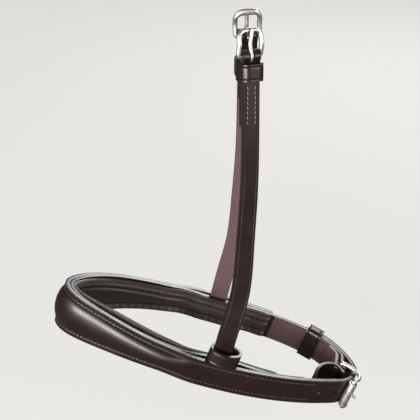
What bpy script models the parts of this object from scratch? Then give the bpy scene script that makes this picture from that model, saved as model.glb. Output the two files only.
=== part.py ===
"""Cavesson noseband: a padded noseband loop with a roller buckle at the chin and two hanging straps.

The origin is the centre of the loop's opening, where the muzzle sits.
+Z is up, -X is the nose end, -Y the near side.
The loop is modelled flat, with its opening along +Z, and an empty tips it as it hangs.
"""
import math

import bmesh
import bpy
import numpy as np
from mathutils import Matrix, Vector

# Clearances between pieces
GAP = 0.0003

# The noseband loop: outer face, seen along the opening
LOOP_LENGTH = 0.2344
LOOP_WIDTH = 0.0890
LOOP_TIP_DEG = 18.2
# Places on the outline: share of the length from the nose, share of the half width to the far side
OUTLINE_SHARES = [
    (0.000, -0.03), (0.030, -0.33), (0.140, -0.605), (0.320, -0.88), (0.520, -0.978), (0.740, -0.879),
    (0.930, -0.589), (1.000, -0.258), (0.930, 0.501), (0.740, 0.892), (0.520, 1.016), (0.320, 0.942),
    (0.140, 0.661), (0.030, 0.274)]

# Leather plies and their widths
STRAP_WIDTH = 0.022
NOSE_WIDTH = 0.0350
NOSE_TAPER = 0.109
OUTER_THICK = 0.0030
BASE_THICK = 0.0026
EDGE_ROUND = 0.0008
NOSE_RAISE = 0.0022
RAISE_ARC = 0.094
RAISE_FADE = 0.028
RAISE_MARGIN = 0.0048
# Crown of the raised part: share of its half width, share of the raise
CROWN_SHARES = [(0.0, 1.0), (0.66, 0.74), (1.0, 0.0)]
OUTER_FAR_ARC = 0.185
BASE_NEAR_ARC = 0.203
STATION = 0.0075
NOSE_STATION = 0.0038
NOSE_BEND = 0.036
TURN_STATION = 0.0026

# Padded lining
LINING_ARC = 0.1777
LINING_THICK = 0.0012
PAD_THICK = 0.0036
ROLL_RISE = 0.0014
PAD_END = 0.010

# Billet: the outer ply's near end, with its holes
TIP_PAST_KEEPER = 0.014
TIP_TAPER = 0.016
TIP_WIDTH = 0.007
HOLE_RADIUS = 0.0021
HOLE_PITCH = 0.0135
HOLES_BEFORE = 3

# Chin roller buckle
HEEL_BACK = 0.0135
HEEL_SIDE = -0.0063
BUCKLE_DEG = -68.8
BUCKLE_REACH = 0.0200
BUCKLE_CLEAR = 0.0010
BUCKLE_WIRE = 0.0015
ROLLER_RADIUS = 0.0031
ROLLER_WALL_CLEAR = 0.0003
TONGUE_RADIUS = 0.0011
TONGUE_OVERHANG = 0.0045
TONGUE_PLAY = 0.0011
BILLET_LEAVES = 0.033
BILLET_JOINS = 0.021
BILLET_STAND_OUT = 0.0041
HOLE_FIRST = 0.0205
SLOT_HALF = 0.0016
SLOT_REACH = 0.0065
TURN_BACK = 0.012
# Bow of the side bars: share of the reach along the buckle, share of the reach outwards
BOW_SHARES = [(0.33, 0.31), (0.68, 0.42), (0.93, 0.26)]

# Chin keeper, loose on the far strap
KEEPER_FROM_CHIN = 0.0510
KEEPER_WIDTH = 0.012
KEEPER_WALL = 0.0017
KEEPER_CLEAR = 0.0009

# Guard flap behind the chin buckle
GUARD_THICK = 0.0022
GUARD_RISE = 0.0007

# Hanging straps
HANGER_ARC = 0.1373
FAR_ARC_MORE = 0.0025
HANGER_WIDTH = 0.0116
HANGER_BASE_WIDTH = 0.0134
HANGER_TAPER_SHARE = 0.65
HANGER_THICK = 0.0027
HANGER_DROP = 0.007
HANGER_SET_DEG = 6.0
BULGE_MARGIN = 0.0045
HANGER_PIVOT = 0.0290
HANGER_HEIGHT = 0.2240
HANGER_TOP_LEAN = 0.0265
HANGER_TOP_SPREAD = 0.0080
FAR_HANGER_RISE = 0.0091
FAR_LEAN_LESS = 0.0018
HANGER_TURN_DEG = 27.0
FAR_TURN_LESS_DEG = 17.0
HANGER_TURN_BACK = 0.040
# Lean of a hanging strap: share of its height, share of its top lean, share of the way in to the middle
HANGER_ROUTE_SHARES = [
    (0.275, 0.81, 0.14), (0.45, 0.94, 0.31), (0.61, 1.01, 0.50), (0.81, 1.02, 0.76)]

# Ring keeper at each hanging strap's base
RING_WIDTH = 0.0235
RING_DEPTH = 0.0150
RING_HEIGHT = 0.0112
RING_WALL = 0.0019

# Keeper and buckle at each hanging strap's top
TOP_KEEPER_HEIGHT = 0.0115
TOP_KEEPER_WALL = 0.0018
TOP_KEEPER_ROOM = 0.0030
TOP_KEEPER_DROP = 0.0042
TOP_WIRE = 0.0016
TOP_BUCKLE_CLEAR = 0.0004
TOP_BUCKLE_REACH = 0.0160
TOP_CORNER = 0.0050
TOP_BOW = 0.0016
TOP_TONGUE_RADIUS = 0.0013
FAR_KEEPER_SLIP = 0.0125

# Shapes given as shares of the lengths above
NOSE_CORE_SHARES = (-0.82, -0.66, 0.0, 0.66, 0.82)
NOSE_CORE_REACH_SHARE = 0.45
ROLL_PLACE_SHARE = 0.75
ROLL_SPREAD_SHARE = 0.16
ROLL_EDGE_POWER = 10
WIRE_BEND_SHARE = 1.3
ROLLER_ENTRY_SHARE = 0.7
FOLD_CROSSING_SHARE = 1 / 3
TONGUE_HOLE_SHARE = 0.55
TURN_JOIN_SHARE = 0.45
# Chin tongue: share of the reach, share of its height over the roller
CHIN_TONGUE_SHARES = [(0.75, 0.95), (1.0, 1.0)]
CHIN_TONGUE_LIFT_SHARE = 0.45
CHIN_TONGUE_TIP_SHARE = 0.92
TOP_TONGUE_SHARES = (0.25, 0.5, 0.75, 0.95, 1.05, 1.1)
GUARD_SEWN_SHARES = (0.9, 0.55)
GUARD_BACK_SHARE = 0.8
GUARD_CLEAR_SHARE = 2.5
GUARD_END_SHARE = 0.55
GUARD_BOW_SHARES = (-0.12, 0.16)
HANGER_SECTION_SHARES = (-0.5, -0.25, 0.0, 0.25, 0.5)
EYE_START_DEG = 20
EYE_TURN_DEG = 250

ROUND_SIDES = 8
OVERRUN = 0.004


def smooth_share(value):
    """A share that eases from 0 to 1."""
    value = min(max(value, 0.0), 1.0)
    return value * value * (3.0 - 2.0 * value)


def spline(points, closed=False, start=None, end=None, steps=20):
    """A dense polyline along a cubic curve through the points, closed or with its end directions given."""
    places = np.array(points, dtype=float)
    if closed:
        places = np.vstack([places, places[:1]])
    spans = np.linalg.norm(np.diff(places, axis=0), axis=1)
    if closed:
        spans = np.sqrt(spans)
    last = len(places) - 1
    matrix = np.zeros((last + 1, last + 1))
    right = np.zeros_like(places)
    for i in range(1, last):
        matrix[i, i - 1] = 1.0 / spans[i - 1]
        matrix[i, i] = 2.0 / spans[i - 1] + 2.0 / spans[i]
        matrix[i, i + 1] = 1.0 / spans[i]
        before = (places[i] - places[i - 1]) / spans[i - 1] ** 2
        after = (places[i + 1] - places[i]) / spans[i] ** 2
        right[i] = 3.0 * (before + after)
    if closed:
        matrix[0, last - 1] = 1.0 / spans[-1]
        matrix[0, 0] = 2.0 / spans[-1] + 2.0 / spans[0]
        matrix[0, 1] = 1.0 / spans[0]
        before = (places[last] - places[last - 1]) / spans[-1] ** 2
        after = (places[1] - places[0]) / spans[0] ** 2
        right[0] = 3.0 * (before + after)
        matrix[last, last] = 1.0
        matrix[last, 0] = -1.0
    else:
        for row, direction, inner in ((0, start, 1), (last, end, last - 1)):
            matrix[row, row] = 1.0
            if direction is None:
                matrix[row, inner] = 0.5
                edge = (places[max(row, inner)] - places[min(row, inner)]) / spans[min(row, inner)]
                right[row] = 1.5 * edge
            else:
                right[row] = np.array(direction) / np.linalg.norm(direction)
    slopes = np.linalg.solve(matrix, right)
    dense = []
    for i in range(last):
        for k in range(steps):
            t = k / steps
            passed = 3 * t ** 2 - 2 * t ** 3
            leaving = (t ** 3 - 2 * t ** 2 + t) * spans[i] * slopes[i]
            arriving = (t ** 3 - t ** 2) * spans[i] * slopes[i + 1]
            dense.append((1 - passed) * places[i] + leaving + passed * places[i + 1] + arriving)
    dense.append(places[last])
    return np.array(dense)


class Route:
    """A dense polyline that is read by its arc length."""

    def __init__(self, dense):
        self.dense = np.array(dense)
        steps = np.linalg.norm(np.diff(self.dense, axis=0), axis=1)
        self.arcs = np.concatenate([[0.0], np.cumsum(steps)])
        self.length = self.arcs[-1]

    def at(self, arc):
        return np.array([np.interp(arc, self.arcs, column) for column in self.dense.T])

    def direction(self, arc):
        step = self.length / len(self.dense)
        ahead = self.at(min(arc + step, self.length)) - self.at(max(arc - step, 0.0))
        return ahead / np.linalg.norm(ahead)

    def arcs_every(self, spacing, first=0.0, last=None):
        last = self.length if last is None else last
        count = max(1, round((last - first) / spacing))
        return [first + (last - first) * i / count for i in range(count + 1)]


OUTLINE = Route(spline(
    [((along - 0.5) * LOOP_LENGTH, side * LOOP_WIDTH / 2) for along, side in OUTLINE_SHARES], closed=True))


def outline_at(arc):
    """Place and outward direction on the loop's outer face, by the arc from the middle of the nose."""
    wrapped = arc % OUTLINE.length
    step = NOSE_STATION / 4
    ahead = OUTLINE.at((arc + step) % OUTLINE.length) - OUTLINE.at((arc - step) % OUTLINE.length)
    ahead = ahead / np.linalg.norm(ahead)
    return OUTLINE.at(wrapped), np.array([ahead[1], -ahead[0]])


def band_width(arc):
    """Height of the noseband, which widens over the nose."""
    return STRAP_WIDTH + (NOSE_WIDTH - STRAP_WIDTH) * (1.0 - smooth_share(abs(arc) / NOSE_TAPER))


def nose_raise(arc):
    """How far the raised nose part stands out."""
    return NOSE_RAISE * (1.0 - smooth_share((abs(arc) - RAISE_ARC) / RAISE_FADE))


def hanger_bulge(arc):
    """How far the inner plies give way to a hanging strap's sewn end."""
    middle = HANGER_ARC if arc > 0 else -HANGER_ARC - FAR_ARC_MORE
    beside = abs(arc - middle) - HANGER_BASE_WIDTH / 2
    return (HANGER_THICK + GAP) * (1.0 - smooth_share((beside - BULGE_MARGIN) / (HANGER_THICK * 2)))


def loft(name, rings, closed=False):
    """A solid through rings of equal counts, capped at its ends or closed on itself."""
    mesh = bmesh.new()
    count = len(rings[0])
    grid = [[mesh.verts.new(Vector(place)) for place in ring] for ring in rings]
    pairs = list(zip(grid, grid[1:]))
    if closed:
        pairs.append((grid[-1], grid[0]))
    for low, high in pairs:
        for i in range(count):
            j = (i + 1) % count
            mesh.faces.new((low[i], low[j], high[j], high[i]))
    if not closed:
        mesh.faces.new(list(reversed(grid[0])))
        mesh.faces.new(grid[-1])
    bmesh.ops.recalc_face_normals(mesh, faces=mesh.faces)
    data = bpy.data.meshes.new(name)
    mesh.to_mesh(data)
    mesh.free()
    piece = bpy.data.objects.new(name, data)
    bpy.context.collection.objects.link(piece)
    return piece


def ring_at(point, outward, section):
    """A section of (depth, height) pairs set upright at a place in plan."""
    return [(*(point - outward * depth), height) for depth, height in section]


def ply_section(width, depth, thick, bulge=0.0):
    """A leather ply across its width: rounded outer edges, and a raised middle where it bulges."""
    half = width / 2
    foot = half - RAISE_MARGIN
    across = [(-share, rise) for share, rise in CROWN_SHARES[:0:-1]] + CROWN_SHARES
    outer = [(depth + EDGE_ROUND, -half), (depth, EDGE_ROUND - half)]
    outer += [(depth - bulge * rise, foot * share) for share, rise in across]
    outer += [(depth, half - EDGE_ROUND), (depth + EDGE_ROUND, half)]
    inner = [(depth + thick, half)]
    inner += [(depth + thick - bulge * rise, foot * share) for share, rise in reversed(across)]
    inner += [(depth + thick, -half)]
    return outer + inner


def plain_section(width, depth, thick, low=None):
    """A strap's section with its four corners rounded."""
    low = -width / 2 if low is None else low
    high = low + width
    r = EDGE_ROUND
    return [(depth + r, low), (depth, low + r), (depth, high - r), (depth + r, high),
            (depth + thick - r, high), (depth + thick, high - r),
            (depth + thick, low + r), (depth + thick - r, low)]


def sweep_frames(points, reference, closed=False):
    """Place, first and second cross direction along a path; the first stays near the reference."""
    places = [Vector(point) for point in points]
    count = len(places)
    frames = []
    for i, place in enumerate(places):
        before = places[(i - 1) % count] if closed or i else place
        after = places[(i + 1) % count] if closed or i < count - 1 else place
        along = (after - before).normalized()
        hint = reference(i) if callable(reference) else Vector(reference)
        first = (hint - along * hint.dot(along)).normalized()
        frames.append((place, first, along.cross(first)))
    return frames


def tube(name, points, radius, reference, closed=False, blunt=0):
    """A round bar along a path; the last points may draw in to a blunt tip."""
    rings = []
    frames = sweep_frames(points, reference, closed)
    for i, (place, first, second) in enumerate(frames):
        left = len(frames) - 1 - i
        shrink = math.sqrt(1.0 - ((blunt - left) / (blunt + 0.5)) ** 2) if left < blunt else 1.0
        ring = []
        for k in range(ROUND_SIDES):
            angle = 2 * math.pi * k / ROUND_SIDES
            ring.append(place + (first * math.cos(angle) + second * math.sin(angle)) * radius * shrink)
        rings.append(ring)
    return loft(name, rings, closed)


def cut_away(piece, cutters):
    """Cuts shapes out of a piece and deletes them."""
    for cutter in cutters:
        cutter.hide_render = True
        cutter.display_type = 'WIRE'
        modifier = piece.modifiers.new("cut", 'BOOLEAN')
        modifier.operation = 'DIFFERENCE'
        modifier.solver = 'EXACT'
        modifier.object = cutter


def rounded_path(corners, radii, steps=4):
    """A closed path through corners, each rounded off by an arc-like curve of its own radius."""
    path = []
    count = len(corners)
    for i, (corner, radius) in enumerate(zip(corners, radii)):
        before = corners[i - 1]
        after = corners[(i + 1) % count]
        enter = corner + (before - corner).normalized() * radius
        leave = corner + (after - corner).normalized() * radius
        for k in range(steps + 1):
            t = k / steps
            path.append(enter * (1 - t) ** 2 + corner * 2 * t * (1 - t) + leave * t ** 2)
    return path


def set_axis_origin(piece, place):
    """Puts a piece's origin on its joint's axis."""
    place = Vector(place)
    piece.data.transform(Matrix.Translation(-place))
    piece.location = place


def material(name, colour, roughness, metallic=0.0):
    """A plain finish."""
    finish = bpy.data.materials.new(name)
    finish.use_nodes = True
    shader = finish.node_tree.nodes["Principled BSDF"]
    shader.inputs["Base Color"].default_value = (*colour, 1.0)
    shader.inputs["Roughness"].default_value = roughness
    shader.inputs["Metallic"].default_value = metallic
    return finish


def finish_piece(piece, finish, parent=None):
    """Gives a piece its material and hangs it under an empty."""
    own = finish.copy()
    own.name = piece.name
    piece.data.materials.append(own)
    piece.data.shade_smooth()
    piece.data.set_sharp_from_angle(angle=math.radians(35))
    piece.parent = parent
    return piece


# Chin buckle: places in plan, from the heel bar along and out of the buckle

HEEL = np.array([LOOP_LENGTH / 2 - HEEL_BACK, HEEL_SIDE])
ALONG = np.array([math.cos(math.radians(BUCKLE_DEG)), math.sin(math.radians(BUCKLE_DEG))])
OUT = np.array([-ALONG[1], ALONG[0]])
HALF_FRAME = STRAP_WIDTH / 2 + BUCKLE_CLEAR + BUCKLE_WIRE
FOLD_RADIUS = BUCKLE_WIRE + GAP + BASE_THICK
TONGUE_ROOT = BUCKLE_WIRE + GAP + TONGUE_RADIUS


def by_buckle(along, out, height=None):
    """A place given from the heel bar."""
    flat = HEEL + ALONG * along + OUT * out
    return flat if height is None else Vector((flat[0], flat[1], height))


CHIN_ARC = OUTLINE.arcs[int(np.argmax(OUTLINE.dense[:, 0]))]
ROLLER_AXIS = by_buckle(BUCKLE_REACH, 0)


def outer_depth(arc):
    """Depth of the outer ply's edges below the crest of the raised nose."""
    return nose_raise(arc)


def base_depth(arc):
    """Depth of the base ply's outer face."""
    return nose_raise(arc) + OUTER_THICK + GAP + hanger_bulge(arc)


def lining_depth(arc):
    """Depth of the lining's outer face."""
    return base_depth(arc) + BASE_THICK + GAP


def arcs_between(first, last):
    """Arcs on a grid that all plies share, closer round the nose, with the two ends."""
    low, high = min(first, last), max(first, last)
    grid = [0.0]
    while grid[-1] < max(abs(low), abs(high)):
        grid.append(grid[-1] + (NOSE_STATION if grid[-1] < NOSE_BEND else STATION))
    grid = [-arc for arc in grid[:0:-1]] + grid
    inner = [arc for arc in grid if low + STATION / 3 < arc < high - STATION / 3]
    arcs = [low] + inner + [high]
    return arcs if first < last else arcs[::-1]


def inset(arc, depth):
    """A place in plan under the loop's outer face."""
    point, outward = outline_at(arc)
    return point - outward * depth


def route_stations(route, side, first=0.0, last=None):
    """Places and outward directions along a route in plan; side is 1 where outwards is to the right."""
    places = []
    for arc in route.arcs_every(TURN_STATION, first, last):
        along = route.direction(arc)
        places.append((arc, route.at(arc), np.array([along[1], -along[0]]) * side))
    return places


def outline_direction(arc):
    """Direction of the outline, from nose to chin along the near side."""
    outward = outline_at(arc)[1]
    return np.array([-outward[1], outward[0]])


# Noseband loop

def billet_route():
    """Outer face of the billet through the buckle, from the near side to the far side."""
    near = CHIN_ARC - BILLET_LEAVES
    far = CHIN_ARC + BILLET_JOINS
    beside_roller = -OUT * ROLLER_ENTRY_SHARE - ALONG * ROLLER_ENTRY_SHARE
    beside_roller = beside_roller / np.linalg.norm(beside_roller)
    by_roller = ROLLER_AXIS + beside_roller * (ROLLER_RADIUS + BUCKLE_CLEAR)
    past_fold = FOLD_RADIUS + BUCKLE_CLEAR + OUTER_THICK + BILLET_STAND_OUT
    by_fold = by_buckle(BUCKLE_REACH * FOLD_CROSSING_SHARE, past_fold - BUCKLE_CLEAR)
    points = [inset(near, 0), by_roller, by_fold, inset(far, 0)]
    return Route(spline(points, start=outline_direction(near), end=outline_direction(far)))


def chin_tongue_path():
    """The tongue's centre line, from the heel bar over the roller."""
    over = ROLLER_RADIUS + TONGUE_RADIUS + GAP
    start = math.radians(EYE_START_DEG)
    places = [(TONGUE_ROOT * math.cos(start), TONGUE_ROOT * math.sin(start))]
    places += [(BUCKLE_REACH * CHIN_TONGUE_LIFT_SHARE, TONGUE_ROOT)]
    places += [(BUCKLE_REACH * share, over * height) for share, height in CHIN_TONGUE_SHARES]
    places += [(BUCKLE_REACH + TONGUE_OVERHANG, over * CHIN_TONGUE_TIP_SHARE)]
    flat = [by_buckle(*place) for place in places]
    return [Vector((place[0], place[1], 0.0)) for place in Route(spline(flat, steps=4)).dense]


def tip_share(width, left):
    """Share of a strap's width that a rounded tip has where a length of it is left."""
    gone = 1.0 - min(max(left / TIP_TAPER, 0.0), 1.0)
    return (TIP_WIDTH + (width - TIP_WIDTH) * math.sqrt(1.0 - gone ** 2)) / width


def make_outer_strap(tilt):
    rings = []
    for arc in arcs_between(-OUTER_FAR_ARC, CHIN_ARC - BILLET_LEAVES):
        point, outward = outline_at(arc)
        rings.append(ring_at(point, outward, ply_section(band_width(arc), outer_depth(arc), OUTER_THICK,
                                                         nose_raise(arc))))
    route = billet_route()
    for arc, point, outward in route_stations(route, 1)[1:-1]:
        rings.append(ring_at(point, outward, ply_section(STRAP_WIDTH, 0, OUTER_THICK)))
    tip_end = CHIN_ARC + KEEPER_FROM_CHIN + TIP_PAST_KEEPER
    for arc in arcs_between(CHIN_ARC + BILLET_JOINS, tip_end):
        point, outward = outline_at(arc)
        share = tip_share(STRAP_WIDTH, tip_end - arc)
        section = ply_section(STRAP_WIDTH, 0, OUTER_THICK)
        rings.append(ring_at(point, outward, [(depth, height * share) for depth, height in section]))
    strap = finish_piece(loft("outer_strap", rings), LEATHER, tilt)

    cutters = [tube("tongue_hole", chin_tongue_path(), TONGUE_RADIUS + TONGUE_PLAY, (0, 0, 1))]
    crossing = CHIN_ARC - BILLET_LEAVES + route.length * TONGUE_HOLE_SHARE
    for i in range(HOLES_BEFORE):
        arc = crossing - HOLE_FIRST - HOLE_PITCH * i
        point, outward = outline_at(arc)
        cutters.append(punch(f"hole_{i}", point, outward))
    for cutter in cutters:
        cutter.parent = tilt
    cut_away(strap, cutters)


def punch(name, point, outward):
    """A round cutter through a strap."""
    centre = Vector((point[0], point[1], 0.0))
    axis = Vector((outward[0], outward[1], 0.0)) * (OUTER_THICK + OVERRUN)
    return tube(name, [centre - axis, centre + axis], HOLE_RADIUS, (0, 0, 1))


def make_nose_core(tilt):
    reach = RAISE_ARC + RAISE_FADE * NOSE_CORE_REACH_SHARE
    rings = []
    for arc in arcs_between(-reach, reach):
        point, outward = outline_at(arc)
        foot = band_width(arc) / 2 - RAISE_MARGIN
        rise = nose_raise(arc)
        under = outer_depth(arc) + OUTER_THICK
        top = [(under + GAP - rise * core_rise(share), foot * share) for share in NOSE_CORE_SHARES]
        bottom = [(under, foot * share) for share in reversed(NOSE_CORE_SHARES)]
        rings.append(ring_at(point, outward, top + bottom))
    finish_piece(loft("nose_core", rings), FELT, tilt)


def core_rise(share):
    """Share of the raise that the outer ply's inner side has at a share of the foot."""
    places, rises = zip(*CROWN_SHARES)
    return float(np.interp(abs(share), places, rises))


def base_route():
    """Outer face of the base ply where it leaves the loop, folds round the heel bar and is turned back."""
    join = CHIN_ARC + BILLET_JOINS
    fold = [by_buckle(FOLD_RADIUS * math.sin(angle), FOLD_RADIUS * math.cos(angle))
            for angle in np.linspace(0, math.pi, 7)]
    under = OUTER_THICK + GAP
    back = under + BASE_THICK + GAP + BASE_THICK
    leave = spline([inset(join, under), fold[0]], start=-outline_direction(join), end=ALONG)
    later = join + TURN_BACK * TURN_JOIN_SHARE
    turned = spline([fold[-1], inset(later, back)], start=-ALONG, end=outline_direction(later))
    end = [inset(arc, back) for arc in arcs_between(later, join + TURN_BACK)]
    bend = spline(fold, start=ALONG, end=-ALONG, steps=6)
    return Route(np.vstack([leave[:-1], bend[:-1], turned[:-1], end]))


def make_base_strap(tilt):
    rings = []
    for arc in arcs_between(BASE_NEAR_ARC, CHIN_ARC + BILLET_JOINS - OUTLINE.length):
        point, outward = outline_at(arc)
        rings.append(ring_at(point, outward, plain_section(band_width(arc), base_depth(arc), BASE_THICK)))
    for arc, point, outward in route_stations(base_route(), -1)[1:]:
        rings.append(ring_at(point, outward, plain_section(STRAP_WIDTH, 0, BASE_THICK)))
    strap = finish_piece(loft("base_strap", rings), LEATHER, tilt)
    slot = []
    for along in (-SLOT_REACH, SLOT_REACH):
        ring = []
        for side_out, side_up in ((-1, -1), (1, -1), (1, 1), (-1, 1)):
            ring.append(by_buckle(along, side_out * SLOT_REACH, side_up * SLOT_HALF))
        slot.append(ring)
    cutter = loft("tongue_slot", slot)
    cutter.parent = tilt
    cut_away(strap, [cutter])


def lining_profile(width, depth, skin, reach=1.0):
    """The lining's inner side across its height: thin in the middle, rolled at both edges."""
    profile = []
    for i in range(9):
        share = -1.0 + i / 4
        rise = PAD_THICK + ROLL_RISE * math.exp(-((abs(share) - ROLL_PLACE_SHARE) / ROLL_SPREAD_SHARE) ** 2)
        swell = (rise - skin) * math.sqrt(1.0 - abs(share) ** ROLL_EDGE_POWER)
        profile.append((depth + swell, (width / 2 - skin) * share * reach))
    return profile


def make_lining(tilt):
    skin_rings = []
    foam_rings = []
    for arc in arcs_between(-LINING_ARC, LINING_ARC):
        point, outward = outline_at(arc)
        depth = lining_depth(arc)
        width = band_width(arc)
        outside = lining_profile(width, depth, 0.0)
        inside = lining_profile(width, depth, LINING_THICK)
        skin_rings.append(ring_at(point, outward, outside + inside[::-1]))
        if abs(arc) < LINING_ARC - PAD_END / 2:
            foam_rings.append(ring_at(point, outward, lining_profile(width, depth, LINING_THICK + GAP)))
    finish_piece(loft("lining", skin_rings), SOFT_LEATHER, tilt)
    finish_piece(loft("padding_foam", foam_rings), FOAM, tilt)


def make_chin_guard(tilt):
    """A flap behind the buckle, sewn to the turned back end and bowed towards the near strap."""
    join = CHIN_ARC + BILLET_JOINS
    depth = OUTER_THICK + GAP + BASE_THICK + GAP + BASE_THICK + GAP
    sewn = [inset(arc, depth) for arc in [join + TURN_BACK * share for share in GUARD_SEWN_SHARES]]
    beside_fold = by_buckle(-FOLD_RADIUS * GUARD_BACK_SHARE, -FOLD_RADIUS - BUCKLE_CLEAR * GUARD_CLEAR_SHARE)
    near = inset(CHIN_ARC - BILLET_LEAVES - STRAP_WIDTH * GUARD_END_SHARE, OUTER_THICK + BUCKLE_CLEAR)
    bow = (beside_fold + near) / 2 + STRAP_WIDTH * np.array(GUARD_BOW_SHARES)
    route = Route(spline(sewn + [beside_fold, bow, near]))
    width = STRAP_WIDTH + GUARD_RISE * 2
    rings = []
    for arc, point, outward in route_stations(route, -1):
        share = tip_share(width, route.length - arc)
        section = plain_section(width, 0, GUARD_THICK)
        rings.append(ring_at(point, outward, [(deep, height * share) for deep, height in section]))
    finish_piece(loft("chin_guard", rings), SOFT_LEATHER, tilt)


def make_chin_buckle(tilt):
    bows = [(along * BUCKLE_REACH, out * BUCKLE_REACH) for along, out in BOW_SHARES]
    corners = [by_buckle(0, 0, -HALF_FRAME), by_buckle(0, 0, HALF_FRAME)]
    corners += [by_buckle(along, out, HALF_FRAME) for along, out in bows]
    corners += [by_buckle(BUCKLE_REACH, 0, HALF_FRAME), by_buckle(BUCKLE_REACH, 0, -HALF_FRAME)]
    corners += [by_buckle(along, out, -HALF_FRAME) for along, out in reversed(bows)]
    bend = BUCKLE_WIRE * WIRE_BEND_SHARE
    path = rounded_path(corners, [bend] * len(corners))
    frame = tube("chin_buckle_frame", path, BUCKLE_WIRE, (OUT[0], OUT[1], 0), closed=True)
    set_axis_origin(frame, by_buckle(0, 0, 0))
    finish_piece(frame, STEEL, tilt)

    half = HALF_FRAME - bend - GAP
    wall = [(BUCKLE_WIRE + ROLLER_WALL_CLEAR, -half), (ROLLER_RADIUS, -half), (ROLLER_RADIUS, half),
            (BUCKLE_WIRE + ROLLER_WALL_CLEAR, half)]
    rings = []
    for i in range(ROUND_SIDES * 2):
        angle = math.pi * i / ROUND_SIDES
        rings.append([by_buckle(BUCKLE_REACH + radius * math.cos(angle), radius * math.sin(angle), height)
                      for radius, height in wall])
    roller = loft("chin_roller", rings, closed=True)
    set_axis_origin(roller, by_buckle(BUCKLE_REACH, 0, 0))
    finish_piece(roller, STEEL, tilt)

    path = chin_tongue_path()
    tongue = tube("chin_tongue", chin_eye() + path, TONGUE_RADIUS, (0, 0, 1), blunt=2)
    set_axis_origin(tongue, by_buckle(0, 0, 0))
    finish_piece(tongue, STEEL, tilt)


def chin_eye():
    """The chin tongue's eye, three quarters of a turn round the heel bar."""
    points = []
    for i in range(ROUND_SIDES):
        angle = math.radians(EYE_START_DEG + 270 - EYE_TURN_DEG * i / ROUND_SIDES)
        points.append(by_buckle(TONGUE_ROOT * math.cos(angle), TONGUE_ROOT * math.sin(angle), 0))
    return points


def make_chin_keeper(tilt):
    arc = CHIN_ARC + KEEPER_FROM_CHIN
    point, outward = outline_at(arc)
    deep = OUTER_THICK + GAP + BASE_THICK
    along = Vector((*outline_direction(arc), 0))
    across = Vector((*outward, 0))
    half_depth = deep / 2 + KEEPER_CLEAR + KEEPER_WALL
    half_height = STRAP_WIDTH / 2 + GAP * 2 + KEEPER_WALL
    centre = Vector((*(point - outward * deep / 2), 0))
    outside = rounded_outline(half_depth, half_height, KEEPER_WALL)
    keeper = leather_ring("chin_keeper", outside, KEEPER_WALL, KEEPER_WIDTH, centre, across,
                          Vector((0, 0, 1)))
    set_axis_origin(keeper, centre)
    finish_piece(keeper, LEATHER, tilt)


def rounded_outline(half_first, half_second, radius):
    """A rectangle with round corners, as flat places."""
    outline = []
    for first_side, second_side, start in ((1, 1, 0), (-1, 1, 90), (-1, -1, 180), (1, -1, 270)):
        for step in range(4):
            angle = math.radians(start + 30 * step)
            outline.append((first_side * (half_first - radius) + radius * math.cos(angle),
                            second_side * (half_second - radius) + radius * math.sin(angle)))
    return outline


def leather_ring(name, outside, wall, width, centre, first, second):
    """A loop of leather with soft edges: an outline in the plane of two directions, standing square to it."""
    square = first.cross(second)
    lengths = np.array(outside)
    largest = np.abs(lengths).max(axis=0)
    shrink = (largest - wall) / largest
    soft = min(EDGE_ROUND, wall / 3)
    rings = []
    for flat in lengths:
        inner = flat * shrink
        ring = []
        for share, height in ((0, width / 2 - soft), (soft / wall, width / 2), (1 - soft / wall, width / 2),
                              (1, width / 2 - soft), (1, soft - width / 2), (1 - soft / wall, -width / 2),
                              (soft / wall, -width / 2), (0, soft - width / 2)):
            place = flat + (inner - flat) * share
            ring.append(centre + first * place[0] + second * place[1] + square * height)
        rings.append(ring)
    return loft(name, rings, closed=True)


# Hanging straps

TILT = Matrix.Rotation(math.radians(LOOP_TIP_DEG), 4, 'Y')
SEPARATION = HANGER_THICK + GAP
TOP_FOLD = TOP_WIRE + GAP + HANGER_THICK / 2
TOP_ROOT = TOP_WIRE + GAP + TOP_TONGUE_RADIUS
NECK = TOP_KEEPER_DROP - GAP
SLOT_LOW = TOP_ROOT + TOP_TONGUE_RADIUS + GAP


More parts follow.
